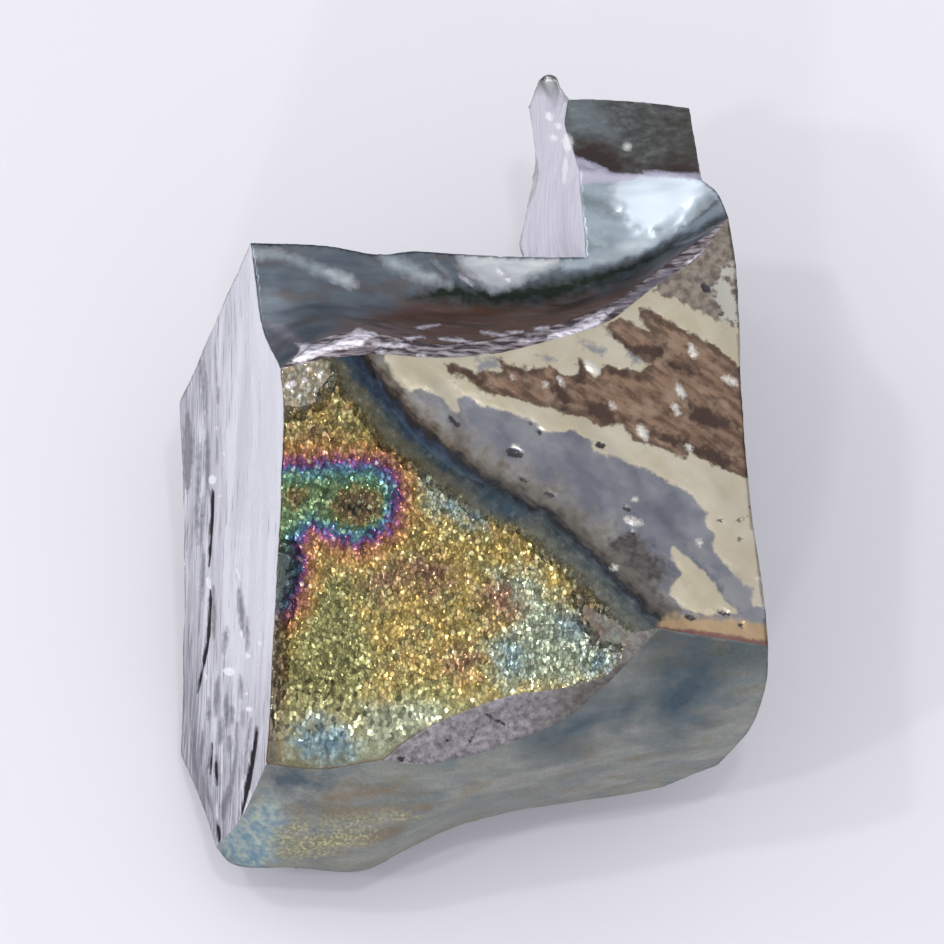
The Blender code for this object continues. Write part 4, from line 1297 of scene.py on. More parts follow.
def fit(value, low, high, to_low=0.0, to_high=1.0):
    """Fits a value from one range to another and stops at the ends."""
    inputs = {0: value, 1: low, 2: high, 3: to_low, 4: to_high}
    return add("ShaderNodeMapRange", inputs).outputs["Result"]


def drift(pattern, reach):
    """A noise made into a move to either side, by reach."""
    return fit(pattern, 0.25, 0.75, -reach, reach)


def total(first, second, operation="ADD"):
    """The sum of two values, or what else the operation makes of them."""
    return add("ShaderNodeMath", {0: first, 1: second}, operation=operation).outputs["Value"]


def times(first, second):
    """One value times another."""
    return total(first, second, "MULTIPLY")


def larger(first, second):
    """The larger of two values."""
    return total(first, second, "MAXIMUM")


# %% [markdown]
# Colours are laid over one another, made darker or lighter, or looked up on a ramp.
# %% Colours
def over(share, under, upper, blend="MIX"):
    """One colour laid over another."""
    inputs = {0: share, 6: under, 7: upper}  # the node's colour inputs come after those for other things
    return add("ShaderNodeMix", inputs, data_type="RGBA", blend_type=blend).outputs[2]


def shaded(colour, value):
    """A colour made darker by a value under 1, or lighter by one over 1."""
    grey = add("ShaderNodeCombineXYZ", {0: value, 1: value, 2: value}).outputs[0]
    return over(1.0, colour, grey, "MULTIPLY")


def ramp(value, stops):
    """A colour for each value, from a list of (value, colour) between 0 and 1."""
    node = add("ShaderNodeValToRGB", {"Fac": value})
    elements = node.color_ramp.elements
    while len(elements) < len(stops):
        elements.new(0.5)
    for element, (position, colour) in zip(elements, stops):
        element.position = position
        element.color = (*colour, 1.0)
    return node.outputs["Color"]


# %% [markdown]
# A mark's outline on the vertices is smooth, and real tarnish is ragged. Noise is added to the depth before
# it is cut off, which makes the edge ragged at the scale of the noise and keeps it crisp at any distance.
# Most finishes are marks laid over one another, so one tool lays a whole list of them.
# %% Marks with ragged edges
def kept_value(name, place):
    """A number kept on the vertices, for the finish that the coordinates belong to."""
    return add("ShaderNodeAttribute", {}, place.id_data, attribute_name=name).outputs["Fac"]


def mark(name, place, ragged=0.05, size=0.12, soft=0.012):
    """1 inside a kind of mark and 0 outside it, with an edge as ragged and as soft as given, mm."""
    wander = drift(cloud(place, size), ragged)
    return fit(total(kept_value(name, place), wander), -soft, soft)


def layered(place, metal, layers):
    """Lays marks over a colour, the first lowest. A layer is (mark, ragged, size, soft, colour)."""
    for name, ragged, size, soft, colour in layers:
        metal = over(mark(name, place, ragged, size, soft), metal, colour)
    return metal


# %% [markdown]
# The finest grains are too small for the mesh. A Voronoi pattern draws them: it gives each grain three
# random numbers for its shade, and the place of its middle, from which the height of a tilted facet
# follows.
# %% Grains that only the finish has
def crystal_cells(place, size):
    """Grains of about that size: three random numbers each, and the height of their tilted facets."""
    cells = add("ShaderNodeTexVoronoi", {"Vector": place, "Scale": 1 / size}).outputs
    lean = vectors("SUBTRACT", cells["Color"], (0.5, 0.5, 0.5))
    in_cells = drawn_out(place, (1 / size, 1 / size, 1 / size))
    offset = vectors("SUBTRACT", in_cells, cells["Position"])
    return parts(cells["Color"]), vectors("DOT_PRODUCT", lean, offset, "Value")


# %% [markdown]
# ## The sheared end
# The newest surface is the end where the piece was sheared off: bright lavender-silver metal, drawn out in
# fine lines along the cut, with black where the cut tore. Nothing has tarnished yet, so the colour hardly
# changes; the dark lines do the work. White glints and a cream line along the rim are painted highlights,
# and a broad dark stroke along the left edge is painted shade.
# %% Finish: bright sheared metal
shader, place = new_finish("sheared_metal", 0.24)
lines = drawn_cloud(place, (1.0, 0.05, 1.0), 0.04, 4.0)
bands = drawn_cloud(place, (1.0, 0.12, 1.0), 0.3)
metal = over(fit(bands, 0.35, 0.65), (0.74, 0.74, 0.78), (0.86, 0.86, 0.9))
axes = parts(place)
further_back = fit(axes["Z"], -0.9, -3.0)
lower = fit(axes["Y"], -0.8, -3.4)
back_and_low = total(further_back, lower)
# darker bands towards the back and the bottom of the end
darker_bands = times(fit(bands, 0.6, 0.42, 0.05, 0.5), back_and_low)
metal = over(darker_bands, metal, (0.30, 0.30, 0.33))
torn = fit(total(lines, times(back_and_low, 0.14)), 0.62, 0.78, 0.0, 0.75)
metal = over(torn, metal, (0.16, 0.16, 0.19))
# dark scuffs, and painted shade along the left edge
scuffs_and_shade = times(mark("scuffs_and_edge_shade", place, 0.02, 0.1, 0.025), 0.8)
metal = over(scuffs_and_shade, metal, (0.15, 0.15, 0.18))
ragged = fit(drawn_cloud(place, (1.0, 0.3, 1.0), 0.06), 0.3, 0.7, -0.015, 0.015)
in_crack = fit(total(kept_value("cracks", place), ragged), -0.022, 0.002)
metal = over(in_crack, metal, (0.035, 0.032, 0.04))
# painted highlight: a cream line along the rim by the coloured face, where the edge catches the light
metal = over(fit(kept_value("from_rim", place), 0.07, 0.02, 0.0, 0.6), metal, (0.85, 0.77, 0.73))
# painted highlights: white glints on the sheared metal
metal = over(mark("painted_glints", place, 0.01, 0.05, 0.01), metal, (1.0, 1.0, 1.0))
rough = larger(fit(bands, 0.3, 0.7, 0.18, 0.36), times(in_crack, 0.8))
finish_off(shader, metal, lines, 0.008, rough)

# %% [markdown]
# The lug's side was sheared in the same stroke, but it is smoother: only its edge towards the light is
# bright, with painted highlights.
# %% Finish: smooth sheared metal
shader, place = new_finish("smooth_shear", 0.3)
lines = drawn_cloud(place, (1.0, 0.05, 1.0), 0.05, 4.0)
metal = over(fit(lines, 0.4, 0.7), (0.76, 0.75, 0.80), (0.62, 0.61, 0.67))
hook_tip = fit(parts(place)["Y"], 6.7, 6.9, 0.0, 0.75)
metal = over(hook_tip, metal, (0.22, 0.23, 0.21))
# painted highlights: white glints along the edge towards the light
metal = over(mark("painted_glints", place, 0.02, 0.08, 0.02), metal, (1.0, 1.0, 1.0))
finish_off(shader, metal)

# %% [markdown]
# ## The coloured face
# Heat grew a film of oxide here. It is clear and a thousand times thinner than a hair, and light that
# bounces off its two sides cancels some colours: as the film thickens the metal goes gold, purple, blue,
# green and gold again. Blender can work out thin films, but the model has to keep its colours anywhere, so
# a ramp gives the colour from the depth inside the ring, in the order that the real film shows.
# %% The film's colours
RING_FROM, RING_TO = -0.5, 0.3  # depths in the ring between which its colours run, mm
RING_FILM = [
    (0.0, (0.40, 0.31, 0.10)),
    (0.2, (0.42, 0.28, 0.10)),
    (0.4, (0.42, 0.22, 0.10)),
    (0.54, (0.34, 0.14, 0.13)),
    (0.61, (0.25, 0.09, 0.20)),
    (0.66, (0.14, 0.09, 0.24)),
    (0.71, (0.08, 0.13, 0.24)),
    (0.78, (0.10, 0.21, 0.25)),
    (0.88, (0.12, 0.24, 0.18)),
    (1.0, (0.15, 0.22, 0.11)),
]
EYE_FILM = [
    (0.0, (0.13, 0.22, 0.12)),
    (0.25, (0.20, 0.18, 0.08)),
    (0.5, (0.18, 0.13, 0.075)),
    (0.78, (0.11, 0.085, 0.055)),
    (1.0, (0.025, 0.04, 0.03)),
]
BARE = [
    (0.0, (0.34, 0.31, 0.25)),
    (0.5, (0.27, 0.24, 0.17)),
    (0.75, (0.36, 0.29, 0.20)),
    (0.9, (0.36, 0.38, 0.35)),
]

# %% [markdown]
# Another film follows the ridge between the two big faces, in bands: olive, blue, nearly black, then tan.
# It ignores where one face ends and the next begins, so the three faces share it. How far past the ridge a
# vertex lies is already kept, one ramp gives the bands, and noise drawn out along the ridge frays them.
# %% The film along the ridge
ALONG_RIDGE = (0.72, -0.69, 0.0)
RIDGE_SLANT = 0.76  # how far the ridge slopes down to the right, radians
RIDGE_FROM, RIDGE_TO = -0.4, 0.6  # mm past the ridge between which its bands run
FILM_FROM, FILM_TO, FILM_SOFT = -0.3, 0.5, 0.16  # mm past the ridge between which they cover the metal
BANDS = [
    (0.2, (0.21, 0.195, 0.13)),
    (0.36, (0.17, 0.165, 0.125)),
    (0.44, (0.09, 0.12, 0.135)),
    (0.52, (0.058, 0.085, 0.13)),
    (0.59, (0.048, 0.06, 0.092)),
    (0.65, (0.03, 0.033, 0.042)),
    (0.7, (0.05, 0.04, 0.036)),
    (0.77, (0.12, 0.098, 0.08)),
    (0.88, (0.19, 0.165, 0.125)),
]
PALE_BANDS = [
    (0.2, (0.21, 0.21, 0.165)),
    (0.35, (0.19, 0.20, 0.18)),
    (0.46, (0.13, 0.15, 0.155)),
    (0.55, (0.065, 0.08, 0.095)),
    (0.61, (0.04, 0.04, 0.045)),
    (0.67, (0.09, 0.08, 0.075)),
    (0.77, (0.15, 0.14, 0.125)),
]


def ridge_film(place, metal):
    """The bands along the ridge over a metal, and how strongly they cover it."""
    along = vectors("DOT_PRODUCT", place, ALONG_RIDGE, "Value")
    ridge_way = slanted(place, RIDGE_SLANT)
    fray = drift(drawn_cloud(ridge_way, (0.25, 1.0, 1.0), 0.06, 4.0), 0.06)
    bend = drift(cloud(place, 0.22), 0.07)
    past = total(kept_value("past_ridge", place), total(fray, bend))
    step = fit(past, RIDGE_FROM, RIDGE_TO)
    lower = fit(total(along, fit(cloud(place, 0.3), 0.3, 0.7, -0.3, 0.3)), -1.3, -0.5)
    bands = over(lower, ramp(step, BANDS), ramp(step, PALE_BANDS))
    begun = fit(past, FILM_FROM, FILM_FROM + FILM_SOFT)
    cover = times(begun, fit(past, FILM_TO, FILM_TO - FILM_SOFT))
    return over(cover, metal, bands), cover


# %% [markdown]
# The face is also a mass of grains a twentieth of a millimetre wide. Each has its own shade, a dark rim and
# a film a shade thicker or thinner than its neighbour's. Here and there one lies just right and sparkles,
# and that sparkle is painted into the colour as a brighter dot.
# %% Finish: coloured oxide film
GRAIN, SPARK = 0.046, 0.12  # width of a grain, and from one sparkle to the next, mm
shader, place = new_finish("coloured_film", 0.3)
axes = parts(place)
grain_place = drawn_out(place, (1.0, 0.65, 1.0))
random, facets = crystal_cells(grain_place, GRAIN)
rim_pattern = {"Vector": grain_place, "Scale": 1 / GRAIN}
rims = add("ShaderNodeTexVoronoi", rim_pattern, feature="DISTANCE_TO_EDGE").outputs["Distance"]
by_grain = fit(random["X"], 0.0, 1.0, -0.05, 0.05)
wander = total(drift(cloud(place, 0.13), 0.06), by_grain)
film = over(fit(cloud(place, 0.3), 0.4, 0.6), (0.44, 0.32, 0.11), (0.29, 0.25, 0.11))
film = over(fit(cloud(place, 0.17), 0.54, 0.64, 0.0, 0.7), film, (0.35, 0.21, 0.10))
film = layered(place, film, [
    ("olive_film", 0.25, 0.3, 0.2, (0.24, 0.23, 0.10)),
    ("pale_film", 0.2, 0.2, 0.2, (0.33, 0.37, 0.27)),
    ("rust_film", 0.2, 0.14, 0.2, (0.25, 0.145, 0.095)),
])
film = over(fit(axes["Y"], -1.75, -2.2, 0.0, 0.8), film, (0.32, 0.31, 0.175))
film = over(fit(axes["Y"], -2.4, -2.75, 0.0, 0.8), film, (0.22, 0.215, 0.14))
bluer = fit(total(cloud(place, 0.1), times(random["Z"], 0.1)), 0.44, 0.66)
film = layered(place, film, [
    ("beige_film", 0.12, 0.2, 0.14, (0.30, 0.32, 0.22)),
    ("blue_film", 0.16, 0.16, 0.16, over(bluer, (0.12, 0.185, 0.235), (0.28, 0.38, 0.38))),
])

# %% [markdown]
# Over that film lie the strongest marks: the bare top corner, the ring with its eyes, the scorched edge,
# the dull strip by the seam, and last the film along the ridge. The ring's edge wanders from grain to
# grain, because each grain took the oxide a little differently.
# %% The ring, its eyes and the scorched edge
film = over(mark("bare_corner", place, 0.12, 0.2, 0.1), film, ramp(random["Y"], BARE))
in_ring = total(total(kept_value("ring", place), wander), 0.03, "SUBTRACT")
ring_colour = ramp(fit(in_ring, RING_FROM, RING_TO), RING_FILM)
film = over(fit(in_ring, -0.42, -0.25), film, ring_colour)
in_eye = total(kept_value("eyes", place), wander)
film = over(fit(in_eye, -0.03, 0.05), film, ramp(fit(in_eye, 0.0, 0.34), EYE_FILM))
burnt = over(fit(axes["Y"], -0.5, -1.0), (0.10, 0.11, 0.12), (0.125, 0.11, 0.095))
burnt_rim = fit(total(kept_value("scorch", place), wander), 0.02, -0.05)
burnt = over(burnt_rim, burnt, (0.22, 0.10, 0.09))
scorched = times(mark("scorch", place, 0.06, 0.16, 0.1), 0.85)
film = over(scorched, film, burnt)
dull = over(fit(cloud(place, 0.2), 0.4, 0.6), (0.20, 0.155, 0.14), (0.21, 0.22, 0.20))
film = layered(place, film, [
    ("dull_film", 0.1, 0.16, 0.16, dull),
    ("bare_specks", 0.02, 0.05, 0.02, (0.85, 0.82, 0.84)),
])
film, ridge_cover = ridge_film(place, film)
film = over(mark("steel_blue", place, 0.08, 0.15, 0.1), film, (0.08, 0.125, 0.165))

# %% [markdown]
# The grains are plainest on the open face. Where the face was rubbed, and low down, they fade into one
# another.
# %% Grains of the coloured face
rubbed = larger(mark("dull_film", place, soft=0.08), ridge_cover)
low_or_scorched = larger(fit(axes["Y"], -1.6, -2.5, 0.0, 0.92), scorched)
rubbed = larger(rubbed, low_or_scorched)
rubbed = larger(rubbed, times(mark("bare_corner", place, soft=0.1), 0.7))
grainy = fit(rubbed, 0.0, 1.0, 1.0, 0.2)
shade = times(fit(random["Z"], 0.0, 1.0, 0.42, 1.32), fit(rims, 0.0, 0.2, 0.45, 1.0))
shade = total(times(total(shade, 0.8, "SUBTRACT"), grainy), 0.8)
patchy = fit(cloud(place, 0.16), 0.3, 0.7, 0.7, 1.15)
# painted sparkle: the film is made brighter in one patch and lower down, where more grains sparkle
sparkle_brightening = fit(mark("sparkly_patch", place, 0.2, 0.3, 0.2), 0.0, 1.0, 1.0, 1.15)
sparkle_brightening = times(sparkle_brightening, fit(axes["Y"], 0.6, -0.8, 1.0, 1.2))
shade = times(shade, times(patchy, sparkle_brightening))
film = shaded(film, shade)

# %% [markdown]
# Now and then a grain lies just right and flashes, and the flash is painted: about half the cells of a wider
# pattern get a brighter dot at their middle, and where the grains have faded the dots fade too.
# %% Painted sparkles, and the darker low edge
sparks = add("ShaderNodeTexVoronoi", {"Vector": place, "Scale": 1 / SPARK}).outputs
chosen = fit(parts(sparks["Color"])["X"], 0.45, 0.95)
dots = times(chosen, fit(sparks["Distance"], 0.36, 0.18))
# painted sparkles: brighter dots in the film's own colour
painted_sparkle = over(1.0, over(1.0, film, film, "ADD"), (0.22, 0.25, 0.15), "ADD")
film = over(times(dots, grainy), film, painted_sparkle)
# darker within a few hundredths of a millimetre of the face's lowest edge, towards the skin
low_down = fit(axes["Y"], -2.1, -2.4, 0.0, 0.8)
dark_low_edge = times(fit(kept_value("from_edge", place), 0.07, 0.01), low_down)
film = over(dark_low_edge, film, (0.13, 0.10, 0.08))
rough = fit(random["X"], 0.0, 1.0, 0.16, 0.42)
rough = larger(rough, times(larger(ridge_cover, dark_low_edge), 0.75))
finish_off(shader, film, times(facets, grainy), 0.03, rough)

# %% [markdown]
# ## The mirror face
# The split face is smooth enough to reflect, and its patches are crystal layers with a thin stain. Each
# patch is one of the marks, laid over the one below in the order in which they lie on the metal.
# %% Finish: split face
SPLIT_SLANT = math.radians(35)  # the split's streaks slope down to the right
shader, place = new_finish("split_face", 0.2)
soft_cloud = fit(cloud(place, 0.6), 0.38, 0.62)
fine_cloud = fit(cloud(place, 0.12), 0.38, 0.62)
metal = over(soft_cloud, (0.145, 0.15, 0.185), (0.235, 0.24, 0.265))
near_ridge = total(kept_value("past_ridge", place), drift(cloud(place, 0.25), 0.25))
tan = over(fine_cloud, (0.14, 0.12, 0.09), (0.22, 0.195, 0.16))
metal = over(fit(near_ridge, 0.8, 0.4, 0.0, 0.75), metal, tan)
metal = layered(place, metal, [
    ("dusk", 0.12, 0.14, 0.08, over(fine_cloud, (0.062, 0.058, 0.062), (0.115, 0.105, 0.102))),
    ("cream", 0.035, 0.14, 0.02, over(soft_cloud, (0.46, 0.41, 0.31), (0.51, 0.47, 0.385))),
    ("haze", 0.06, 0.1, 0.04, (0.25, 0.25, 0.27)),
])
metal, ridge_cover = ridge_film(place, metal)
streaky = drawn_cloud(slanted(place, SPLIT_SLANT), (0.35, 1.0, 1.0), 0.1, 5.0)
rusted = over(fit(streaky, 0.38, 0.6), (0.12, 0.078, 0.058), (0.25, 0.165, 0.118))
rusted = over(fit(cloud(place, 0.3), 0.5, 0.66, 0.0, 0.8), rusted, (0.31, 0.225, 0.17))
from_tide = total(kept_value("brown", place), fit(streaky, 0.3, 0.7, -0.06, 0.06))
rusted = over(fit(from_tide, 0.12, 0.04, 0.0, 0.7), rusted, (0.10, 0.068, 0.052))
metal = layered(place, metal, [
    ("brown", 0.04, 0.12, 0.018, rusted),
    ("char", 0.06, 0.1, 0.04, (0.075, 0.05, 0.042)),
    ("ash", 0.06, 0.1, 0.02, over(fine_cloud, (0.15, 0.125, 0.11), (0.29, 0.25, 0.215))),
    ("pale_corner", 0.1, 0.12, 0.03, (0.46, 0.45, 0.40)),
    ("rust_strip", 0.06, 0.12, 0.05, (0.40, 0.29, 0.18)),
    ("hem_line", 0.02, 0.1, 0.02, (0.18, 0.095, 0.085)),
    ("flakes", 0.03, 0.05, 0.03, (0.64, 0.61, 0.58)),
    ("pits", 0.025, 0.05, 0.012, (0.06, 0.055, 0.06)),
])
rough = larger(fit(streaky, 0.3, 0.7, 0.16, 0.32), fit(near_ridge, 1.0, 0.2, 0.0, 0.75))
finish_off(shader, metal, streaky, 0.003, rough)

# %% [markdown]
# ## The hollow, and the torn lip in front of it
# The hollow was shut in while the piece cooled, so it is stained darkest at the bottom: brown, then black,
# then slate. The lug's front rises out of it and is painted pale, as if lit, with painted shade and a
# painted glare. The streaks run with the tear and end in painted highlights.
# %% Finish: stained hollow
MAUVE, LAVENDER = (0.22, 0.20, 0.25), (0.48, 0.46, 0.57)


def sliver_shine(place):
    """The colour of a bright sliver, darker in streaks along it."""
    streaks = drawn_cloud(place, (0.25, 1.0, 1.0), 0.05, 3.0)
    return over(fit(streaks, 0.36, 0.56), (0.34, 0.31, 0.38), (0.80, 0.77, 0.84))


shader, place = new_finish("stained_hollow", 0.26)
streaks = drawn_cloud(place, (0.3, 1.0, 1.0), 0.3, 3.0)
streaked = fit(streaks, 0.34, 0.66)
metal = over(streaked, (0.09, 0.11, 0.135), (0.155, 0.18, 0.21))
brownish = fit(drawn_cloud(place, (0.5, 1.0, 1.0), 0.4), 0.5, 0.64, 0.0, 0.6)
metal = over(brownish, metal, (0.12, 0.10, 0.10))
rusty = fit(parts(place)["X"], -2.2, -0.3)
rusty = total(rusty, fit(streaks, 0.35, 0.65, -0.3, 0.3))
floor_stain = over(rusty, (0.21, 0.165, 0.165), (0.105, 0.055, 0.038))
metal = layered(place, metal, [
    # painted light on the lug's front: a pale lit face, painted shade and a painted glare
    ("lit_lug_front", 0.05, 0.2, 0.05, (0.32, 0.375, 0.43)),
    ("lug_shade", 0.05, 0.1, 0.07, (0.22, 0.26, 0.29)),
    ("painted_lug_glare", 0.05, 0.12, 0.08, (0.54, 0.60, 0.67)),
    ("brown_floor", 0.1, 0.25, 0.12, floor_stain),
    ("black_floor", 0.06, 0.15, 0.08, (0.022, 0.028, 0.022)),
    ("pale_streaks", 0.04, 0.12, 0.08, over(streaked, (0.24, 0.29, 0.33), (0.42, 0.46, 0.49))),
    # painted highlights at the ends of the streaks
    ("painted_highlight_tips", 0.04, 0.12, 0.08, over(streaked, (0.40, 0.43, 0.46), (0.60, 0.62, 0.64))),
    ("grooves", 0.02, 0.06, 0.02, (0.19, 0.2, 0.215)),
    ("lavender", 0.02, 0.1, 0.02, LAVENDER),
    ("mauve", 0.03, 0.1, 0.06, MAUVE),
    ("slivers", 0.02, 0.08, 0.02, sliver_shine(place)),
])
frosted = times(mark("painted_lug_glare", place, soft=0.1), 0.5)
rough = larger(fit(streaks, 0.3, 0.7, 0.26, 0.42), frosted)
finish_off(shader, metal, streaks, 0.01, rough)

# %% [markdown]
# The lip is the same tear seen edge on: dark purple metal with the bright slivers.
# %% Finish: torn lip
shader, place = new_finish("torn_lip", 0.3)
fibres = drawn_cloud(place, (0.2, 1.0, 1.0), 0.06, 4.0)
metal = over(fit(fibres, 0.42, 0.68), (0.075, 0.058, 0.066), (0.48, 0.43, 0.46))
metal = layered(place, metal, [
    ("mauve", 0.03, 0.1, 0.06, MAUVE),
    ("slivers", 0.02, 0.08, 0.02, sliver_shine(place)),
])
finish_off(shader, metal, fibres, 0.015)

# %% [markdown]
# ## The skin and the seam above it
# The skin froze against the mould, so it is smooth but not polished, and its oxide is thick and even: grey
# with some green and blue, faintly streaked along its lower edge.
# %% Finish: cast skin
shader, place = new_finish("cast_skin", 0.4)
brushed = drawn_cloud(place, (0.18, 1.0, 1.0), 0.3, 4.0)
metal = over(fit(brushed, 0.38, 0.62), (0.23, 0.25, 0.225), (0.34, 0.345, 0.31))
under_hem = fit(kept_value("from_hem", place), 0.9, 0.2, 0.0, 0.85)
metal = over(under_hem, metal, (0.115, 0.14, 0.145))
near_keel = fit(kept_value("from_keel", place), 0.45, 0.05, 0.0, 0.6)
metal = over(near_keel, metal, (0.30, 0.295, 0.23))
bluish = fit(drawn_cloud(place, (0.6, 1.0, 1.0), 0.4, 3.0), 0.5, 0.66, 0.0, 0.5)
metal = over(bluish, metal, (0.14, 0.19, 0.215))
earthy = fit(drawn_cloud(place, (0.5, 1.0, 1.0), 0.3, 3.0), 0.5, 0.68, 0.0, 0.45)
metal = over(earthy, metal, (0.24, 0.19, 0.12))
blotchy = fit(cloud(place, 0.14, 4.0), 0.4, 0.62)
fine = fit(cloud(place, 0.05, 3.0), 0.3, 0.7)
gold = over(fit(fine, 0.35, 1.0), (0.27, 0.26, 0.16), (0.62, 0.57, 0.33))
metal = layered(place, metal, [
    ("skin_blue", 0.2, 0.4, 0.35, (0.08, 0.115, 0.14)),
    ("skin_heel", 0.15, 0.3, 0.15, (0.11, 0.14, 0.16)),
    ("skin_toe", 0.15, 0.25, 0.15, over(blotchy, (0.20, 0.31, 0.37), (0.44, 0.50, 0.44))),
    ("skin_rust", 0.06, 0.14, 0.1, (0.25, 0.19, 0.125)),
    ("skin_gold", 0.1, 0.14, 0.12, gold),
])
metal = shaded(metal, fit(fine, 0.0, 1.0, 0.9, 1.1))
rough = fit(brushed, 0.3, 0.7, 0.34, 0.46)
finish_off(shader, metal, cloud(place, 0.04, 5.0), 0.003, rough)

# %% [markdown]
# Between the coloured face and the skin runs a seam of torn metal. Its grit scatters the light, so it is
# matt and grey where its neighbours shine, and it turns brown where it nears the skin.
# %% Finish: matt seam
shader, place = new_finish("matt_seam", 0.5)
grit = cloud(place, 0.09, 6.0)
metal = over(fit(grit, 0.36, 0.64), (0.175, 0.16, 0.173), (0.335, 0.31, 0.335))
metal = over(fit(cloud(place, 0.11, 3.0), 0.62, 0.68, 0.0, 0.7), metal, (0.12, 0.105, 0.11))
to_skin = fit(parts(place)["X"], 0.7, 1.5, 0.0, 0.9)
brown_grit = over(fit(grit, 0.4, 0.6), (0.14, 0.125, 0.11), (0.20, 0.195, 0.18))
metal = over(to_skin, metal, brown_grit)
metal = over(mark("pits", place, 0.02, 0.05, 0.01), metal, (0.05, 0.045, 0.05))
finish_off(shader, metal, grit, 0.012)

# %% [markdown]
# ## The lug's top, and every broken side
# The top of the lug is dull and almost black, with a pale patch at the back and a brown one along its
# ridge.
# %% Finish: dull lug top
shader, place = new_finish("dull_top", 0.36)
mottle = cloud(place, 0.16, 4.0)
metal = ramp(mottle, [
    (0.3, (0.08, 0.085, 0.08)),
    (0.5, (0.135, 0.142, 0.14)),
    (0.68, (0.21, 0.22, 0.22)),
])
darker_right = fit(parts(place)["X"], 2.1, 3.1, 0.0, 0.6)
metal = over(darker_right, metal, (0.08, 0.076, 0.058))
metal = layered(place, metal, [
    ("lug_pale", 0.1, 0.2, 0.16, (0.22, 0.25, 0.265)),
    ("lug_brown", 0.1, 0.2, 0.14, (0.07, 0.052, 0.048)),
    ("lavender", 0.02, 0.1, 0.02, LAVENDER),
    # painted highlight: a white glint on the lug's top
    ("painted_glints", 0.01, 0.05, 0.04, (0.9, 0.9, 0.88)),
])
finish_off(shader, metal, mottle, 0.02)

# %% [markdown]
# The sides that lie away from the light are plain broken metal: grey facets, each a shade apart, with a
# breath of straw here and there.
# %% Finish: broken metal
shader, place = new_finish("broken_metal", 0.3)
random, facets = crystal_cells(place, 0.16)
metal = over(random["X"], (0.42, 0.418, 0.43), (0.55, 0.545, 0.565))
metal = over(fit(cloud(place, 1.4), 0.54, 0.68, 0.0, 0.3), metal, (0.46, 0.42, 0.32))
streaks = drawn_cloud(place, (1.0, 1.0, 0.12), 0.06, 4.0)
metal = over(fit(streaks, 0.5, 0.7, 0.0, 0.6), metal, (0.24, 0.24, 0.26))
rough = fit(random["Y"], 0.0, 1.0, 0.2, 0.34)
finish_off(shader, metal, total(facets, streaks), 0.015, rough)
print(sorted(finishes))

# %% [markdown]
# ## Give each face its finish
# One mesh can carry many finishes: each triangle has the number of its own.
# %% Finishes, face by face
FACE_FINISH = {
    "sheared_end": "sheared_metal",
    "lug_side": "smooth_shear",
    "coloured_face": "coloured_film",
    "ridge_band": "coloured_film",
    "mirror_face": "split_face",
    "hollow": "stained_hollow",
    "lip": "torn_lip",
    "skin": "cast_skin",
    "grey_seam": "matt_seam",
    "lug_top": "dull_top",
}
order = list(finishes)
for name in order:
    mesh.materials.append(finishes[name])
slot_numbers = [order.index(FACE_FINISH.get(face, "broken_metal")) for face in triangle_face]
mesh.polygons.foreach_set("material_index", slot_numbers)
print(len(order), "finishes on", piece.name)

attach(piece, "root")
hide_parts(NODE)

# %% [markdown]
# ## Floor, light and camera
# Metal shows what is around it, so the room matters as much as the finish. A pale floor gives the steep
# sheared end something bright to reflect, and a bright even sky does the same for the big faces. A soft box
# behind on the left models the forms, and a few tiny lamps round the camera pick out single grains.
# %% Pale floor
FLOOR_SIDE = 1.2  # m
bpy.ops.mesh.primitive_plane_add(size=FLOOR_SIDE)
floor = bpy.context.object
floor.name = "floor"
floor_paint = bpy.data.materials.new("floor_paint")
floor_paint.use_nodes = True
paint = floor_paint.node_tree.nodes["Principled BSDF"]
paint.inputs["Base Color"].default_value = (0.72, 0.71, 0.765, 1.0)
paint.inputs["Roughness"].default_value = 0.7
floor.data.materials.append(floor_paint)
print("a floor", FLOOR_SIDE, "m wide")

# %% [markdown]
# A lamp is a glowing square. A large one far off gives soft light, and a tiny one near by gives a hard
# glint. Each is placed by its direction from the middle of the piece and turned to face it.
# %% Lamps
MIDDLE = (0.0, 1.3, -1.0)  # of the piece, across, up and out, mm
scene = bpy.context.scene
target = (leaned(*MIDDLE) + shift) * MM


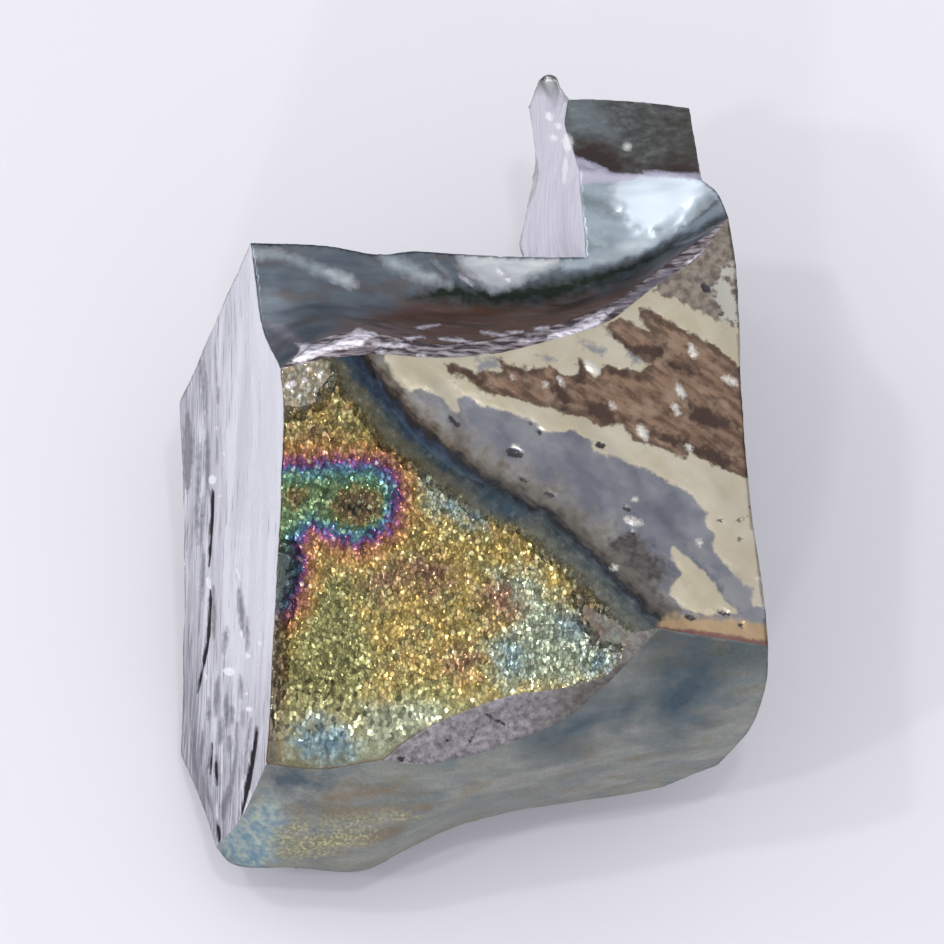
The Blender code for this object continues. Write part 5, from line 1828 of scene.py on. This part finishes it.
def lamp(name, direction, distance, side, power):
    """A square light that faces the piece and doesn't show in the picture."""
    data = bpy.data.lights.new(name, "AREA")
    data.size = side
    data.energy = power
    light = bpy.data.objects.new(name, data)
    light.location = target + Vector(direction).normalized() * distance
    light.rotation_euler = Vector(direction).to_track_quat("Z", "Y").to_euler()
    light.visible_camera = False
    scene.collection.objects.link(light)
    print(f"{name}: {power} W")


lamp("soft_box", (-0.7, 0.5, 0.75), distance=2.0, side=0.6, power=1.8)
SPARK_LAMPS = [(0.1, -0.2, 1.0), (-0.6, -0.35, 0.8), (-0.15, -0.85, 0.6), (-0.45, 0.1, 0.9)]
for number, direction in enumerate(SPARK_LAMPS, 1):
    lamp(f"grain_spark_{number}", direction, distance=0.25, side=0.014, power=0.06)

# %% [markdown]
# The sky lights the piece evenly and is what its faces reflect. It is brightest overhead and darker towards
# the horizon, so that each face takes a shade of its own.
# %% Soft studio light
SKY = [
    (0.0, (0.6, 0.6, 0.63)),
    (0.5, (0.34, 0.345, 0.365)),
    (0.67, (0.57, 0.58, 0.61)),
    (0.85, (0.9, 0.91, 0.94)),
    (1.0, (1.0, 1.0, 1.0)),
]
world = bpy.data.worlds.new("studio")
world.use_nodes = True
scene.world = world
sky = world.node_tree
height = parts(add("ShaderNodeTexCoord", {}, sky).outputs["Generated"])["Z"]
background = sky.nodes["Background"]
join(background.inputs["Color"], ramp(fit(height, -1.0, 1.0), SKY))
background.inputs["Strength"].default_value = 1.05
print(len(SKY), "shades of sky")

# %% [markdown]
# The camera looks square-on at the coloured face, from far away through a long lens, so that near parts
# don't look larger than far ones. Colours go out as they are, without a film look.
# %% Camera
CAMERA_DISTANCE = 0.2  # m
FIELD = 0.0134  # width of the picture at the piece, m
lens = bpy.data.cameras.new("camera")
lens.sensor_width = 36.0
lens.lens = lens.sensor_width * CAMERA_DISTANCE / FIELD
lens.clip_start = 0.001
camera = bpy.data.objects.new("camera", lens)
camera.location = target + OUT * CAMERA_DISTANCE
camera.rotation_euler = OUT.to_track_quat("Z", "Y").to_euler()
scene.collection.objects.link(camera)
scene.camera = camera
scene.view_settings.view_transform = "Standard"
print("lens", round(lens.lens), "mm")
